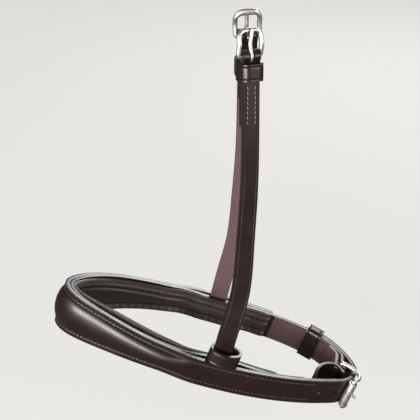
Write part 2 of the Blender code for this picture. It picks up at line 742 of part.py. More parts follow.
class Hanger:
    """One hanging strap: where it is sewn in, its route up, and the frame of its top end."""

    def __init__(self, name, side):
        self.name = name
        self.side = side
        self.arc = -side * (HANGER_ARC + (FAR_ARC_MORE if side > 0 else 0))
        self.depth = nose_raise(self.arc) + OUTER_THICK + GAP
        base = self.tail_place(0, HANGER_PIVOT, HANGER_THICK / 2)
        above = self.tail_place(0, HANGER_PIVOT + HANGER_THICK, HANGER_THICK / 2)
        self.pivot = TILT @ Vector(base)
        start = (TILT @ Vector(above) - self.pivot).normalized()
        along = TILT @ Vector((*(outline_direction(self.arc) * -side), 0))
        self.axis = (along - start * along.dot(start)).normalized()
        far = side > 0
        height = HANGER_HEIGHT + (FAR_HANGER_RISE if far else 0)
        top_lean = HANGER_TOP_LEAN - (FAR_LEAN_LESS if far else 0)
        turn = math.radians(HANGER_TURN_DEG - (FAR_TURN_LESS_DEG if far else 0))
        self.turned = Vector((math.cos(turn), math.sin(turn), 0))
        self.keeper_drop = TOP_KEEPER_DROP + (FAR_KEEPER_SLIP if far else 0)
        top_y = side * HANGER_TOP_SPREAD
        points = [self.pivot]
        for rise, lean, way in HANGER_ROUTE_SHARES + [(1.0, 1.0, 1.0)]:
            side_y = self.pivot.y + (top_y - self.pivot.y) * way
            points.append(Vector((lean * top_lean, side_y, rise * height)))
        self.route = Route(spline(points, start=start))
        self.top = self.frame(self.route.length)
        self.bar = self.top[0] - self.top[1] * SEPARATION / 2

    def tail_place(self, along, height, deep):
        """A place on the sewn end, which leans a little in the plane of the strap's face."""
        lean = self.side * height * math.tan(math.radians(HANGER_SET_DEG))
        point, outward = outline_at(self.arc + along + lean)
        flat = point - outward * (self.depth + deep)
        return flat[0], flat[1], height

    def frame(self, arc):
        """Place, outward direction, width direction and direction up the strap."""
        place = Vector(self.route.at(arc))
        up = Vector(self.route.direction(arc))
        across = self.axis.lerp(self.turned, smooth_share(arc / self.route.length))
        across = (across - up * across.dot(up)).normalized()
        outward = across.cross(up) * -self.side
        return place, outward, across, up

    def width(self, arc):
        """The strap's width, which narrows from its base."""
        left = 1.0 - smooth_share(arc / self.route.length / HANGER_TAPER_SHARE)
        return HANGER_WIDTH + (HANGER_BASE_WIDTH - HANGER_WIDTH) * left

    def by_bar(self, out, up, across=0.0):
        """A place given from the top buckle's heel bar."""
        return self.bar + self.top[1] * out + self.top[3] * up + self.top[2] * across


def strap_ring(place, normal, across, thick, width):
    """A strap's section set square to its route."""
    r = min(EDGE_ROUND, thick / 3)
    flat = [(thick / 2, width / 2 - r), (thick / 2 - r, width / 2), (r - thick / 2, width / 2),
            (-thick / 2, width / 2 - r), (-thick / 2, r - width / 2), (r - thick / 2, -width / 2),
            (thick / 2 - r, -width / 2), (thick / 2, r - width / 2)]
    return [place + normal * deep + across * wide for deep, wide in flat]


def make_tail(hanger, tilt):
    rings = []
    slope = hanger.side * math.tan(math.radians(HANGER_SET_DEG))
    for share in HANGER_SECTION_SHARES:
        along = share * HANGER_BASE_WIDTH
        high = HANGER_PIVOT - HANGER_THICK / 2 - GAP * 2 - along * slope
        outer = [hanger.tail_place(along, height, 0) for height in (-HANGER_DROP, 0, high)]
        inner = [hanger.tail_place(along, height, HANGER_THICK) for height in (high, 0, -HANGER_DROP)]
        rings.append(outer + inner)
    finish_piece(loft(f"{hanger.name}_hanger_tail", rings), LEATHER, tilt)


def make_ring_keeper(hanger, tilt):
    point, outward = outline_at(hanger.arc)
    low = band_width(hanger.arc) / 2 + GAP
    flat = point - outward * (hanger.depth + HANGER_THICK / 2)
    centre = Vector((flat[0], flat[1], low + RING_HEIGHT / 2))
    along = outline_direction(hanger.arc)
    outside = []
    for i in range(ROUND_SIDES * 3):
        angle = 2 * math.pi * i / (ROUND_SIDES * 3)
        outside.append((RING_WIDTH / 2 * math.cos(angle), RING_DEPTH / 2 * math.sin(angle)))
    ring = leather_ring(f"{hanger.name}_ring_keeper", outside, RING_WALL, RING_HEIGHT, centre,
                        Vector((*along, 0)), Vector((*outward, 0)))
    set_axis_origin(ring, centre)
    finish_piece(ring, LEATHER, tilt)


def make_hanger(hanger):
    rings = []
    place, outward, across, up = hanger.frame(0)
    radius = HANGER_THICK / 2
    for angle in (12, 35, 60):
        drop = radius * math.cos(math.radians(angle))
        thick = HANGER_THICK * math.sin(math.radians(angle))
        rings.append(strap_ring(place - up * drop, outward, across, thick, HANGER_BASE_WIDTH))
    for arc in hanger.route.arcs_every(STATION, 0, hanger.route.length - NECK):
        place, outward, across, up = hanger.frame(arc)
        rings.append(strap_ring(place, outward, across, HANGER_THICK, hanger.width(arc)))
    half = SEPARATION / 2
    leave = spline([(half, -NECK), (TOP_FOLD, 0)], start=(0, 1), end=(0, 1), steps=3)
    turn = [(TOP_FOLD * math.cos(angle), TOP_FOLD * math.sin(angle)) for angle in np.linspace(0, math.pi, 9)]
    back = spline([(-TOP_FOLD, 0), (-half, -NECK)], start=(0, -1), end=(0, -1), steps=3)
    fold = np.vstack([leave[1:-1], turn, back[1:]])
    bend = Route(np.vstack([leave[:1], fold]))
    for flat in fold:
        arc = bend.arcs[np.argmin(np.linalg.norm(bend.dense - flat, axis=1))]
        direction = bend.direction(arc)
        normal = hanger.top[1] * direction[1] - hanger.top[3] * direction[0]
        rings.append(strap_ring(hanger.by_bar(*flat), normal, hanger.top[2], HANGER_THICK, HANGER_WIDTH))
    top = hanger.route.length - NECK
    for arc in hanger.route.arcs_every(STATION, top - HANGER_TURN_BACK, top)[-2::-1]:
        place, outward, across, up = hanger.frame(arc)
        rings.append(strap_ring(place - outward * SEPARATION, -outward, across, HANGER_THICK, HANGER_WIDTH))
    strap = loft(f"{hanger.name}_hanger", rings)
    set_axis_origin(strap, hanger.pivot)
    finish_piece(strap, LEATHER)
    slot = []
    for up_side in (-SLOT_LOW, TOP_FOLD * 2.5):
        ring = []
        for out_side, wide in ((-1, -1), (1, -1), (1, 1), (-1, 1)):
            ring.append(hanger.by_bar(out_side * TOP_FOLD * 2, up_side, wide * SLOT_HALF))
        slot.append(ring)
    cut_away(strap, [loft(f"{hanger.name}_slot", slot)])


def make_top_keeper(hanger):
    arc = hanger.route.length - hanger.keeper_drop - TOP_KEEPER_HEIGHT / 2
    place, outward, across, up = hanger.frame(arc)
    inner = -HANGER_THICK / 2 - SEPARATION - GAP - TOP_KEEPER_WALL
    outer = HANGER_THICK / 2 + TOP_KEEPER_ROOM + TOP_KEEPER_WALL
    outside = rounded_outline((outer - inner) / 2, HANGER_WIDTH / 2 + GAP + TOP_KEEPER_WALL, TOP_KEEPER_WALL)
    centre = place + outward * (outer + inner) / 2
    keeper = leather_ring(f"{hanger.name}_hanger_keeper", outside, TOP_KEEPER_WALL, TOP_KEEPER_HEIGHT, centre,
                          outward, across)
    finish_piece(keeper, LEATHER)


def make_top_buckle(hanger):
    half = HANGER_WIDTH / 2 + TOP_BUCKLE_CLEAR + TOP_WIRE
    middle = TOP_BUCKLE_REACH / 2
    corners = [hanger.by_bar(0, 0, -half), hanger.by_bar(0, 0, half), hanger.by_bar(TOP_BOW, middle, half),
               hanger.by_bar(0, TOP_BUCKLE_REACH, half), hanger.by_bar(0, TOP_BUCKLE_REACH, -half),
               hanger.by_bar(TOP_BOW, middle, -half)]
    low = TOP_WIRE * WIRE_BEND_SHARE
    radii = [low, low, low, TOP_CORNER, TOP_CORNER, low]
    path = rounded_path(corners, radii)
    frame = tube(f"{hanger.name}_buckle_frame", path, TOP_WIRE, hanger.top[1], closed=True)
    set_axis_origin(frame, hanger.bar)
    finish_piece(frame, STEEL)

    path = []
    for i in range(ROUND_SIDES):
        angle = math.radians(EYE_START_DEG + 270 - EYE_TURN_DEG * i / ROUND_SIDES)
        path.append(hanger.by_bar(TOP_ROOT * math.sin(angle), TOP_ROOT * math.cos(angle)))
    for share in TOP_TONGUE_SHARES:
        path.append(hanger.by_bar(TOP_ROOT, TOP_BUCKLE_REACH * share))
    tongue = tube(f"{hanger.name}_buckle_tongue", path, TOP_TONGUE_RADIUS, hanger.top[2], blunt=2)
    set_axis_origin(tongue, hanger.bar)
    finish_piece(tongue, STEEL)


def main():
    for piece in list(bpy.data.objects):
        bpy.data.objects.remove(piece, do_unlink=True)
    tilt = bpy.data.objects.new("loop_tilt", None)
    tilt.rotation_euler = (0, math.radians(LOOP_TIP_DEG), 0)
    bpy.context.collection.objects.link(tilt)
    make_outer_strap(tilt)
    make_nose_core(tilt)
    make_base_strap(tilt)
    make_lining(tilt)
    make_chin_guard(tilt)
    make_chin_buckle(tilt)
    make_chin_keeper(tilt)
    near, far = Hanger("near", -1), Hanger("far", 1)
    make_ring_keeper(near, tilt)
    for hanger in (near, far):
        make_tail(hanger, tilt)
        make_hanger(hanger)
        make_top_keeper(hanger)
        make_top_buckle(hanger)
    bpy.context.view_layer.update()


LEATHER = material("brown_bridle_leather", (0.028, 0.017, 0.014), 0.32)
SOFT_LEATHER = material("soft_brown_leather", (0.045, 0.030, 0.027), 0.55)
FELT = material("filler", (0.20, 0.16, 0.12), 0.95)
FOAM = material("foam", (0.10, 0.09, 0.09), 0.95)
STEEL = material("stainless_steel", (0.58, 0.57, 0.55), 0.28, 1.0)

main()
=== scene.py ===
# %% [markdown]
# # A cavesson noseband
# A noseband is strapwork: leather is cut flat, creased, punched and stitched on the bench, and only then bent
# round the horse's nose. This lesson works in the same order. Each strap is modelled flat, finished while it
# is easy to reach, and laid along its route. The metal is made finer than the frame's and stays in place.

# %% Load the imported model
import math

import bpy
import numpy as np
from mathutils import Matrix, Vector


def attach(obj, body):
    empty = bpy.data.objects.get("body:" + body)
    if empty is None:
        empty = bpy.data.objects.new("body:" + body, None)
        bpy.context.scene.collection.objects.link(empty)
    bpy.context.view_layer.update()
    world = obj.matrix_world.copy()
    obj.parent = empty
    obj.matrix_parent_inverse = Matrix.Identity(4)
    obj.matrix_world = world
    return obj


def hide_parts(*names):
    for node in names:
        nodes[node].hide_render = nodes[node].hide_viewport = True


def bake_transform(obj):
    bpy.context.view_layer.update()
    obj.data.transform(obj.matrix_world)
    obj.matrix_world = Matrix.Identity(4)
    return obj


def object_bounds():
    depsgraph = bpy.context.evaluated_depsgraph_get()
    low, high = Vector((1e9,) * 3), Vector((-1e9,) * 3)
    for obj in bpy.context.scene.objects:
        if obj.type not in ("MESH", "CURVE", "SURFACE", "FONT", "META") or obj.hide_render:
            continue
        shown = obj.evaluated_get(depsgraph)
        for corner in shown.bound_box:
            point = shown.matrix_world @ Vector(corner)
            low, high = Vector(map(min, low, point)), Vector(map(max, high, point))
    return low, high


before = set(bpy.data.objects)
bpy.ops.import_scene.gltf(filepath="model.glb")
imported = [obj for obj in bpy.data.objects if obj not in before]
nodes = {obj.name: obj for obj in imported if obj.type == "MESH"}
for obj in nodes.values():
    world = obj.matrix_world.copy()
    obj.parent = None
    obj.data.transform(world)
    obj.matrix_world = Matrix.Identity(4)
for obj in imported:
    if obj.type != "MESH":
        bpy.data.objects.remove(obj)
cad_low, cad_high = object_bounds()
print("CAD box", [round(v, 4) for v in cad_low], [round(v, 4) for v in cad_high])

# %% [markdown]
# ## Camera
# The photograph looks down on the loop from the horse's near side. Three things fix a view: where the camera
# stands, what it looks at and how long its lens is. They were fitted to the strap's outline.

# %% Place the camera
CAMERA_PLACE = Vector((0.0014, -0.4871, 0.3837))
CAMERA_AIM = Vector((0.0014, 0.0, 0.1110))
CAMERA_LENS = 68.9
SENSOR_WIDTH = 36.0

bpy.ops.object.select_all(action='DESELECT')
aim_turn = (CAMERA_AIM - CAMERA_PLACE).to_track_quat('-Z', 'Y').to_euler()
bpy.ops.object.camera_add(location=CAMERA_PLACE, rotation=aim_turn)
camera = bpy.context.active_object
camera.data.lens = CAMERA_LENS
camera.data.sensor_width = SENSOR_WIDTH
bpy.context.scene.camera = camera
print("camera is", round((CAMERA_AIM - CAMERA_PLACE).length, 3), "m away")

# %% [markdown]
# ## Floor and light
# Dark glossy leather shows its shape by what it reflects, so the lamps are large and soft. One stands in
# front to the left and lights the nose, one hangs behind and draws light lines along the top edges, and a
# weak one fills the right. A mirrored pale floor would veil the leather, so floor and world are dimmer in
# reflections than they are to the camera, and the world is dim as a light.

# %% Colours written as they are seen
def colour(code):
    """An sRGB hex code as the linear colour that a shader takes."""
    shares = [int(code[i:i + 2], 16) / 255 for i in (1, 3, 5)]
    linear = [v / 12.92 if v <= 0.04045 else ((v + 0.055) / 1.055) ** 2.4 for v in shares]
    return (*linear, 1.0)


def set_sockets(tree, node, sockets):
    """Sets a node's inputs by name or number, or links them where the value is another node's output."""
    for socket, value in sockets.items():
        if isinstance(value, bpy.types.NodeSocket):
            tree.links.new(value, node.inputs[socket])
        else:
            node.inputs[socket].default_value = value


def add_node(tree, kind, sockets=None, **settings):
    """Adds a node, applies its settings and sets its sockets."""
    node = tree.nodes.new(kind)
    for name, value in settings.items():
        setattr(node, name, value)
    set_sockets(tree, node, sockets or {})
    return node


def add_math(tree, operation, *values):
    """The result of a Math node."""
    return add_node(tree, "ShaderNodeMath", dict(enumerate(values)), operation=operation).outputs[0]


def new_finish(name):
    """A material, its nodes, its shader, and the place on the object that its patterns follow."""
    finish = bpy.data.materials.new(name)
    finish.use_nodes = True
    tree = finish.node_tree
    return finish, tree, tree.nodes["Principled BSDF"], add_node(tree, "ShaderNodeTexCoord").outputs["Object"]


print("middle grey as light:", round(colour("#808080")[0], 3))

# %% Pale floor
FLOOR_SIZE = 12.0
FLOOR_BELOW = 0.035
FLOOR_COLOUR = "#E4E3E0"
FLOOR_ROUGH = 0.9
EVEN_SHARE = 0.85
MIRRORED_SHARE = 0.20


def ray_kinds(tree):
    """1 for rays seen straight or through glass, 1 for mirrored rays, and the backdrop's strength."""
    path = add_node(tree, "ShaderNodeLightPath").outputs
    direct = add_math(tree, 'MAXIMUM', path["Is Camera Ray"], path["Is Transmission Ray"])
    mirrored = path["Is Glossy Ray"]
    return direct, mirrored, add_math(tree, 'MULTIPLY_ADD', mirrored, MIRRORED_SHARE - 1.0, 1.0)


bpy.ops.object.select_all(action='DESELECT')
bpy.ops.mesh.primitive_plane_add(size=FLOOR_SIZE, location=(0, 0, cad_low.z - FLOOR_BELOW))
floor = bpy.context.active_object
floor.name = "studio_floor"
paper, tree, lit, _ = new_finish("pale_paper")
set_sockets(tree, lit, {"Base Color": colour(FLOOR_COLOUR), "Roughness": FLOOR_ROUGH})
direct, mirrored, strength = ray_kinds(tree)
even = add_node(tree, "ShaderNodeEmission", {"Color": colour(FLOOR_COLOUR), "Strength": strength})
share = add_math(tree, 'MULTIPLY_ADD', direct, EVEN_SHARE, mirrored)
ground = add_node(tree, "ShaderNodeMixShader", {0: share, 1: lit.outputs[0], 2: even.outputs[0]})
set_sockets(tree, tree.nodes["Material Output"], {"Surface": ground.outputs[0]})
floor.data.materials.append(paper)
print("floor at", round(floor.location.z, 4))

# %% World: a dim light, and pale where it is seen
AMBIENT = 0.30
WORLD_COLOUR = "#EDEDEE"

world = bpy.context.scene.world or bpy.data.worlds.new("studio")
bpy.context.scene.world = world
world.use_nodes = True
tree = world.node_tree
tree.nodes.clear()
direct, mirrored, strength = ray_kinds(tree)
shown = add_math(tree, 'MAXIMUM', direct, mirrored)
dim = add_node(tree, "ShaderNodeBackground", {"Color": colour(WORLD_COLOUR), "Strength": AMBIENT})
pale = add_node(tree, "ShaderNodeBackground", {"Color": colour(WORLD_COLOUR), "Strength": strength})
either = add_node(tree, "ShaderNodeMixShader", {0: shown, 1: dim.outputs[0], 2: pale.outputs[0]})
add_node(tree, "ShaderNodeOutputWorld", {"Surface": either.outputs[0]})
bpy.context.scene.view_settings.view_transform = 'Standard'
print("world lights at", AMBIENT, "and is mirrored at", MIRRORED_SHARE)

# %% Soft lamps
LAMPS = [
    ("front_left_lamp", (-0.60, -1.00, 0.32), (0.90, 0.34), 32.0),
    ("top_rear_lamp", (0.45, 1.00, 0.66), (0.60, 0.40), 11.0),
    ("right_fill_lamp", (0.92, -0.58, 0.45), (0.50, 0.40), 6.0)]
LAMP_AIM = Vector((0.0, 0.0, 0.04))

for name, place, (width, height), power in LAMPS:
    bpy.ops.object.light_add(type='AREA', location=place)
    lamp = bpy.context.active_object
    lamp.name = name
    lamp.rotation_euler = (LAMP_AIM - Vector(place)).to_track_quat('-Z', 'Y').to_euler()
    lamp.data.shape = 'RECTANGLE'
    lamp.data.size = width
    lamp.data.size_y = height
    lamp.data.energy = power
    print(name, power, "W")

# %% [markdown]
# ## Where the straps lie
# Every strap follows the loop, which hangs tipped with its nose end up. The loop's outline is one smooth
# closed curve through a few listed points, so it gives the place, the way along and the way out of the
# leather at any length from the middle of the nose. A cubic curve keeps its bends even, as a strap does.

# %% Sizes of the real noseband
GAP = 0.0003
LOOP_LENGTH = 0.2344
LOOP_WIDTH = 0.0890
LOOP_TIP_DEG = 18.2
OUTLINE_SHARES = [
    (0.000, -0.03), (0.030, -0.33), (0.140, -0.605), (0.320, -0.88), (0.520, -0.978), (0.740, -0.879),
    (0.930, -0.589), (1.000, -0.258), (0.930, 0.501), (0.740, 0.892), (0.520, 1.016), (0.320, 0.942),
    (0.140, 0.661), (0.030, 0.274)]
STRAP_WIDTH = 0.022
NOSE_WIDTH = 0.0350
NOSE_TAPER = 0.109
OUTER_THICK = 0.0030
BASE_THICK = 0.0026
NOSE_RAISE = 0.0022
RAISE_ARC = 0.094
RAISE_FADE = 0.028
RAISE_MARGIN = 0.0048
HANGER_ARC = 0.1373
FAR_ARC_MORE = 0.0025
HANGER_WIDTH = 0.0116
HANGER_BASE_WIDTH = 0.0134
HANGER_TAPER_SHARE = 0.65
HANGER_THICK = 0.0027
BULGE_MARGIN = 0.0025
BULGE_FADE = 0.024
PARED_SHARE = 0.2
PARE_START = 0.186
PARE_RUN = 0.026
HEEL_BACK = 0.0135
HEEL_SIDE = -0.0063
BUCKLE_DEG = -68.8
BUCKLE_REACH = 0.0200
BUCKLE_WIRE = 0.0015
BUCKLE_CLEAR = 0.0010
ROLLER_RADIUS = 0.0031
FINE_STEP = 0.0010

print("loop is", round(LOOP_LENGTH * 1000), "by", round(LOOP_WIDTH * 1000), "mm")

# %% A smooth curve through points
def smooth_share(value):
    """A share that eases from 0 to 1."""
    value = np.clip(value, 0.0, 1.0)
    return value * value * (3.0 - 2.0 * value)


def spline(points, closed=False, start=None, end=None, steps=20):
    """A dense line along a cubic curve through the points, closed or with its end directions given."""
    places = np.array(points, dtype=float)
    if closed:
        places = np.vstack([places, places[:1]])
    spans = np.linalg.norm(np.diff(places, axis=0), axis=1)
    if closed:
        spans = np.sqrt(spans)
    last = len(places) - 1
    matrix = np.zeros((last + 1, last + 1))
    right = np.zeros_like(places)
    for i in range(0 if closed else 1, last):
        back = (i - 1) % last
        before, after = 1.0 / spans[back], 1.0 / spans[i]
        matrix[i, back] += before
        matrix[i, i] += 2.0 * (before + after)
        matrix[i, i + 1] += after
        right[i] = 3.0 * ((places[i] - places[back]) * before ** 2 + (places[i + 1] - places[i]) * after ** 2)
    if closed:
        matrix[last, last] = 1.0
        matrix[last, 0] = -1.0
    else:
        for row, way, inner in ((0, start, 1), (last, end, last - 1)):
            matrix[row, row] = 1.0
            if way is None:
                low = min(row, inner)
                matrix[row, inner] = 0.5
                right[row] = 1.5 * (places[low + 1] - places[low]) / spans[low]
            else:
                right[row] = np.array(way) / np.linalg.norm(way)
    slopes = np.linalg.solve(matrix, right)
    t = (np.arange(steps) / steps)[:, None]
    dense = []
    for i in range(last):
        dense.append((2 * t ** 3 - 3 * t ** 2 + 1) * places[i] + (3 * t ** 2 - 2 * t ** 3) * places[i + 1]
                     + spans[i] * ((t ** 3 - 2 * t ** 2 + t) * slopes[i] + (t ** 3 - t ** 2) * slopes[i + 1]))
    return np.vstack(dense + [places[last:]])


print("a curve through three points has", len(spline([(0, 0), (1, 1), (2, 0)])), "places")

# %% The loop's outline
RIGHT = np.array([[0, -1], [1, 0]])


def unit(rows):
    return rows / np.linalg.norm(rows, axis=-1, keepdims=True)


class Line:
    """A dense line read by its length, or by many lengths at once."""

    def __init__(self, dense):
        self.dense = np.array(dense, dtype=float)
        steps = np.linalg.norm(np.diff(self.dense, axis=0), axis=1)
        self.lengths = np.concatenate([[0.0], np.cumsum(steps)])
        self.length = self.lengths[-1]

    def read(self, rows, at):
        return np.array([np.interp(at, self.lengths, column) for column in rows.T]).T

    def at(self, length):
        return self.read(self.dense, length)


outline_points = [((x - 0.5) * LOOP_LENGTH, y * LOOP_WIDTH / 2) for x, y in OUTLINE_SHARES]
outline = Line(spline(outline_points, closed=True))
CHIN_ARC = outline.lengths[int(np.argmax(outline.dense[:, 0]))]
TILT = Matrix.Rotation(math.radians(LOOP_TIP_DEG), 4, 'Y')


def along(arc):
    """The way along the loop at a length from the middle of the nose, by the near side to the chin."""
    before, after = [outline.at((arc + step) % outline.length) for step in (-FINE_STEP, FINE_STEP)]
    return unit(after - before)


def outward(arc):
    """The way out of the loop."""
    return along(arc) @ RIGHT


def inset(arc, depth):
    """A place in plan below the loop's outer face."""
    return outline.at(arc % outline.length) - outward(arc) * np.expand_dims(depth, -1)


def tipped(x, y, z=0.0):
    """A place or way in space, from the loop's own plane and the height across the strap."""
    return TILT @ Vector((x, y, z))


print("loop measures", round(outline.length * 1000, 1), "mm round, chin at", round(CHIN_ARC * 1000, 1))

# %% How wide and how deep each ply lies
def band_width(arc):
    return STRAP_WIDTH + (NOSE_WIDTH - STRAP_WIDTH) * (1.0 - smooth_share(np.abs(arc) / NOSE_TAPER))


def nose_raise(arc):
    return NOSE_RAISE * (1.0 - smooth_share((np.abs(arc) - RAISE_ARC) / RAISE_FADE))


def base_depth(arc):
    """The base strap lies under the outer one, and bulges in over the hanging straps' sewn ends."""
    middle = np.where(arc > 0, HANGER_ARC, -HANGER_ARC - FAR_ARC_MORE)
    beside = np.abs(arc - middle) - HANGER_BASE_WIDTH / 2
    bulge = (HANGER_THICK + GAP) * (1.0 - smooth_share((beside - BULGE_MARGIN) / BULGE_FADE))
    return nose_raise(arc) + OUTER_THICK + GAP + bulge


def base_share(arc):
    """The base strap is pared thin towards its near end, so that it ends without a step."""
    return PARED_SHARE + (1.0 - PARED_SHARE) * smooth_share((PARE_START - arc) / PARE_RUN)


print("band is", round(band_width(0.0) * 1000), "mm wide on the nose")

# %% [markdown]
# ## Bending a flat strap
# A Curve modifier could bend a strap, but it turns the leather about the curve by its own rule, and twists it
# at a tight fold. Here a track holds a place, a way out of the leather and a way across it at each length. A
# flat piece is laid on it point by point: X runs along, Y across and Z out.

# %% Tracks
class Track(Line):
    """Places and outward ways along a strap's outer face."""

    def __init__(self, places, outs):
        places = np.array(places, dtype=float)
        steps = np.linalg.norm(np.diff(places, axis=0), axis=1)
        keep = np.concatenate([[True], steps > FINE_STEP / 100])
        super().__init__(places[keep])
        outs = np.array(outs, dtype=float)[keep]
        ahead = unit(np.gradient(self.dense, axis=0))
        self.outs = unit(outs - ahead * np.sum(outs * ahead, axis=1)[:, None])
        self.sides = np.cross(self.outs, ahead)


def coordinates(piece):
    values = np.zeros(len(piece.data.vertices) * 3)
    piece.data.vertices.foreach_get("co", values)
    return values.reshape(-1, 3)


def set_coordinates(piece, values):
    piece.data.vertices.foreach_set("co", np.ascontiguousarray(values).ravel())
    piece.data.update()


def set_heights(piece, height_at):
    """Sets each flat point's height by a rule of the points' places."""
    flat = coordinates(piece)
    flat[:, 2] = height_at(flat)
    set_coordinates(piece, flat)


def lay(piece, track):
    """Lays a flat piece on a track."""
    flat = coordinates(piece)
    out, side = [unit(track.read(rows, flat[:, 0])) for rows in (track.outs, track.sides)]
    set_coordinates(piece, track.at(flat[:, 0]) + side * flat[:, 1:2] + out * flat[:, 2:3])


def in_space(flat_places, flat_outs):
    """A track from places and outward ways in the loop's own plane."""
    turn = np.array(TILT.to_3x3())[:, :2].T
    return Track(np.array(flat_places) @ turn, np.array(flat_outs) @ turn)


print("tracks keep a place every", round(FINE_STEP * 1000, 1), "mm")

# %% [markdown]
# ## Cutting a strap
# A strap starts as a grid. Its rows are not even: they gather where the leather is creased, stitched and
# raised, and stay wide apart in the plain middle. Solidify gives the thickness with its own materials for the
# flesh side and the cut edge, and Bevel rounds the edges as an edge tool does.

# %% Handling pieces
def clean_select():
    if bpy.context.mode != 'OBJECT':
        bpy.ops.object.mode_set(mode='OBJECT')
    bpy.ops.object.select_all(action='DESELECT')


def select_only(piece):
    clean_select()
    bpy.context.view_layer.objects.active = piece
    piece.select_set(True)


def apply_modifier(piece, kind, **settings):
    """Adds a modifier with its settings and applies it."""
    select_only(piece)
    modifier = piece.modifiers.new(kind.lower(), kind)
    for name, value in settings.items():
        setattr(modifier, name, value)
    bpy.ops.object.modifier_apply(modifier=modifier.name)


def smooth_by_angle(piece, degrees):
    """Smooth shading that stays sharp at edges steeper than the angle."""
    select_only(piece)
    bpy.ops.object.shade_smooth_by_angle(angle=math.radians(degrees))


# %% Flat strips
EDGE_ROUND = 0.0007
EDGE_PROFILE = 0.6
CORNER_DEG = 55
SMOOTH_DEG = 40
CREASE_DEEP = 0.00022
CREASE_HALF = 0.00030
ROW_SHARES = [0.0, 0.25, 0.5, 0.7, 0.84, 0.93, 0.98]
GRID_STEP = FINE_STEP * 1.25


def cut_strip(name, length, insets, half_width, step=GRID_STEP):
    """A flat grid with rows at shares of its middle and, beside it, at the given insets from both edges."""
    clean_select()
    columns = max(2, round(length / step))
    rows = len(insets) + len(ROW_SHARES) - 1
    bpy.ops.mesh.primitive_grid_add(x_subdivisions=columns, y_subdivisions=2 * rows, size=2)
    piece = bpy.context.active_object
    piece.name = name
    piece.data.name = name
    flat = coordinates(piece)
    lengths = np.rint((flat[:, 0] + 1) / 2 * columns) / columns * length
    row = np.rint(flat[:, 1] * rows).astype(int)
    shares = np.array(ROW_SHARES + [1.0] * len(insets))
    less = np.array([share * insets[-1] for share in ROW_SHARES] + insets[::-1])
    across = np.sign(row) * (half_width(lengths) * shares[np.abs(row)] - less[np.abs(row)])
    set_coordinates(piece, np.stack([lengths, across, np.zeros_like(lengths)], axis=1))
    return piece


def finish_strip(piece, thick, materials, edge=EDGE_ROUND):
    """Gives a flat strip its thickness, rounded edges and three finishes: grain, flesh and cut edge."""
    for finish in materials:
        piece.data.materials.append(finish)
    apply_modifier(piece, 'SOLIDIFY', thickness=thick, offset=-1.0, material_offset=1, material_offset_rim=2,
                   use_even_offset=False)
    apply_modifier(piece, 'BEVEL', width=edge, segments=3, limit_method='ANGLE',
                   angle_limit=math.radians(CORNER_DEG), profile=EDGE_PROFILE, use_clamp_overlap=True)
    smooth_by_angle(piece, SMOOTH_DEG)


def bell(offset, reach):
    """1 at no offset, falling softly on both sides."""
    return np.exp(-(offset / reach) ** 2)


def crease(across, half_widths, inset):
    """How deep a creasing iron presses a line at an inset from both edges."""
    return -CREASE_DEEP * bell(np.abs(across) - (half_widths - inset), CREASE_HALF)


print("a strip has columns every", round(GRID_STEP * 1000, 2), "mm")

# %% Holes
HOLE_FINE_SHARE = 1.6
HOLE_CUT_SHARE = 0.88
HOLE_RIM_SHARE = 1.5


def pick_faces(piece, test):
    """Selects the faces that pass a test and nothing else, and leaves the piece in edit mode."""
    select_only(piece)
    bpy.ops.object.mode_set(mode='EDIT')
    bpy.ops.mesh.select_mode(type='FACE')
    bpy.ops.mesh.select_all(action='DESELECT')
    bpy.ops.object.mode_set(mode='OBJECT')
    for face in piece.data.polygons:
        face.select = test(face)
    bpy.ops.object.mode_set(mode='EDIT')


def open_edges(piece):
    """The edges that only one face uses, each as its two vertex numbers."""
    uses = {}
    for face in piece.data.polygons:
        for key in face.edge_keys:
            uses[key] = uses.get(key, 0) + 1
    return [key for key, count in uses.items() if count == 1]


def punch_hole(piece, x, y, radius, half_length=0.0):
    """Opens a round or oval hole: finer faces there, those inside go and the rim is drawn to the outline."""
    def off_centre(face):
        run = max(abs(face.center.x - x) - half_length, 0.0)
        return math.hypot(run, face.center.y - y)

    pick_faces(piece, lambda face: off_centre(face) < radius * HOLE_FINE_SHARE)
    bpy.ops.mesh.subdivide(number_cuts=1)
    pick_faces(piece, lambda face: off_centre(face) < radius * HOLE_CUT_SHARE)
    bpy.ops.mesh.delete(type='FACE')
    bpy.ops.object.mode_set(mode='OBJECT')
    for index in {index for key in open_edges(piece) for index in key}:
        place = piece.data.vertices[index].co
        run = max(min(place.x - x, half_length), -half_length)
        off = Vector((place.x - x - run, place.y - y))
        if 0 < off.length < radius * HOLE_RIM_SHARE:
            off = off.normalized() * radius
            place.x = x + run + off.x
            place.y = y + off.y


print("a hole is cut from faces within", HOLE_FINE_SHARE, "radii")

# %% [markdown]
# ## Finishes
# Bridle leather is cowhide tanned with oils and wax, dyed nearly black brown and glazed, so its grain side is
# smooth and glossy with only fine pores. Its flesh side is the fibrous inside of the hide, matt and paler.
# Cut edges are rounded, dyed and burnished. The lining is a softer leather. The hardware is nickel-plated
# brass with a satin polish, and the thread is waxed linen.

# %% Leather with pores and uneven dye
PORE_SIZE = 0.00055
PORE_HEIGHT = 0.0002
FINE_PORE_SHARE = 0.6
DYE_PATCH = 0.018
WRINKLE_SIZE = 0.0045


def add_noise(tree, place, scale, detail, **more):
    return add_node(tree, "ShaderNodeTexNoise", {"Vector": place, "Scale": scale, "Detail": detail, **more})


def spread(tree, pattern, low, high):
    """The middle of a pattern spread between two values."""
    sockets = {"Value": pattern, "From Min": 0.3, "From Max": 0.7, "To Min": low, "To Max": high}
    return add_node(tree, "ShaderNodeMapRange", sockets).outputs[0]


def bumped(tree, height, strength, distance):
    sockets = {"Height": height, "Strength": strength, "Distance": distance}
    return add_node(tree, "ShaderNodeBump", sockets).outputs[0]


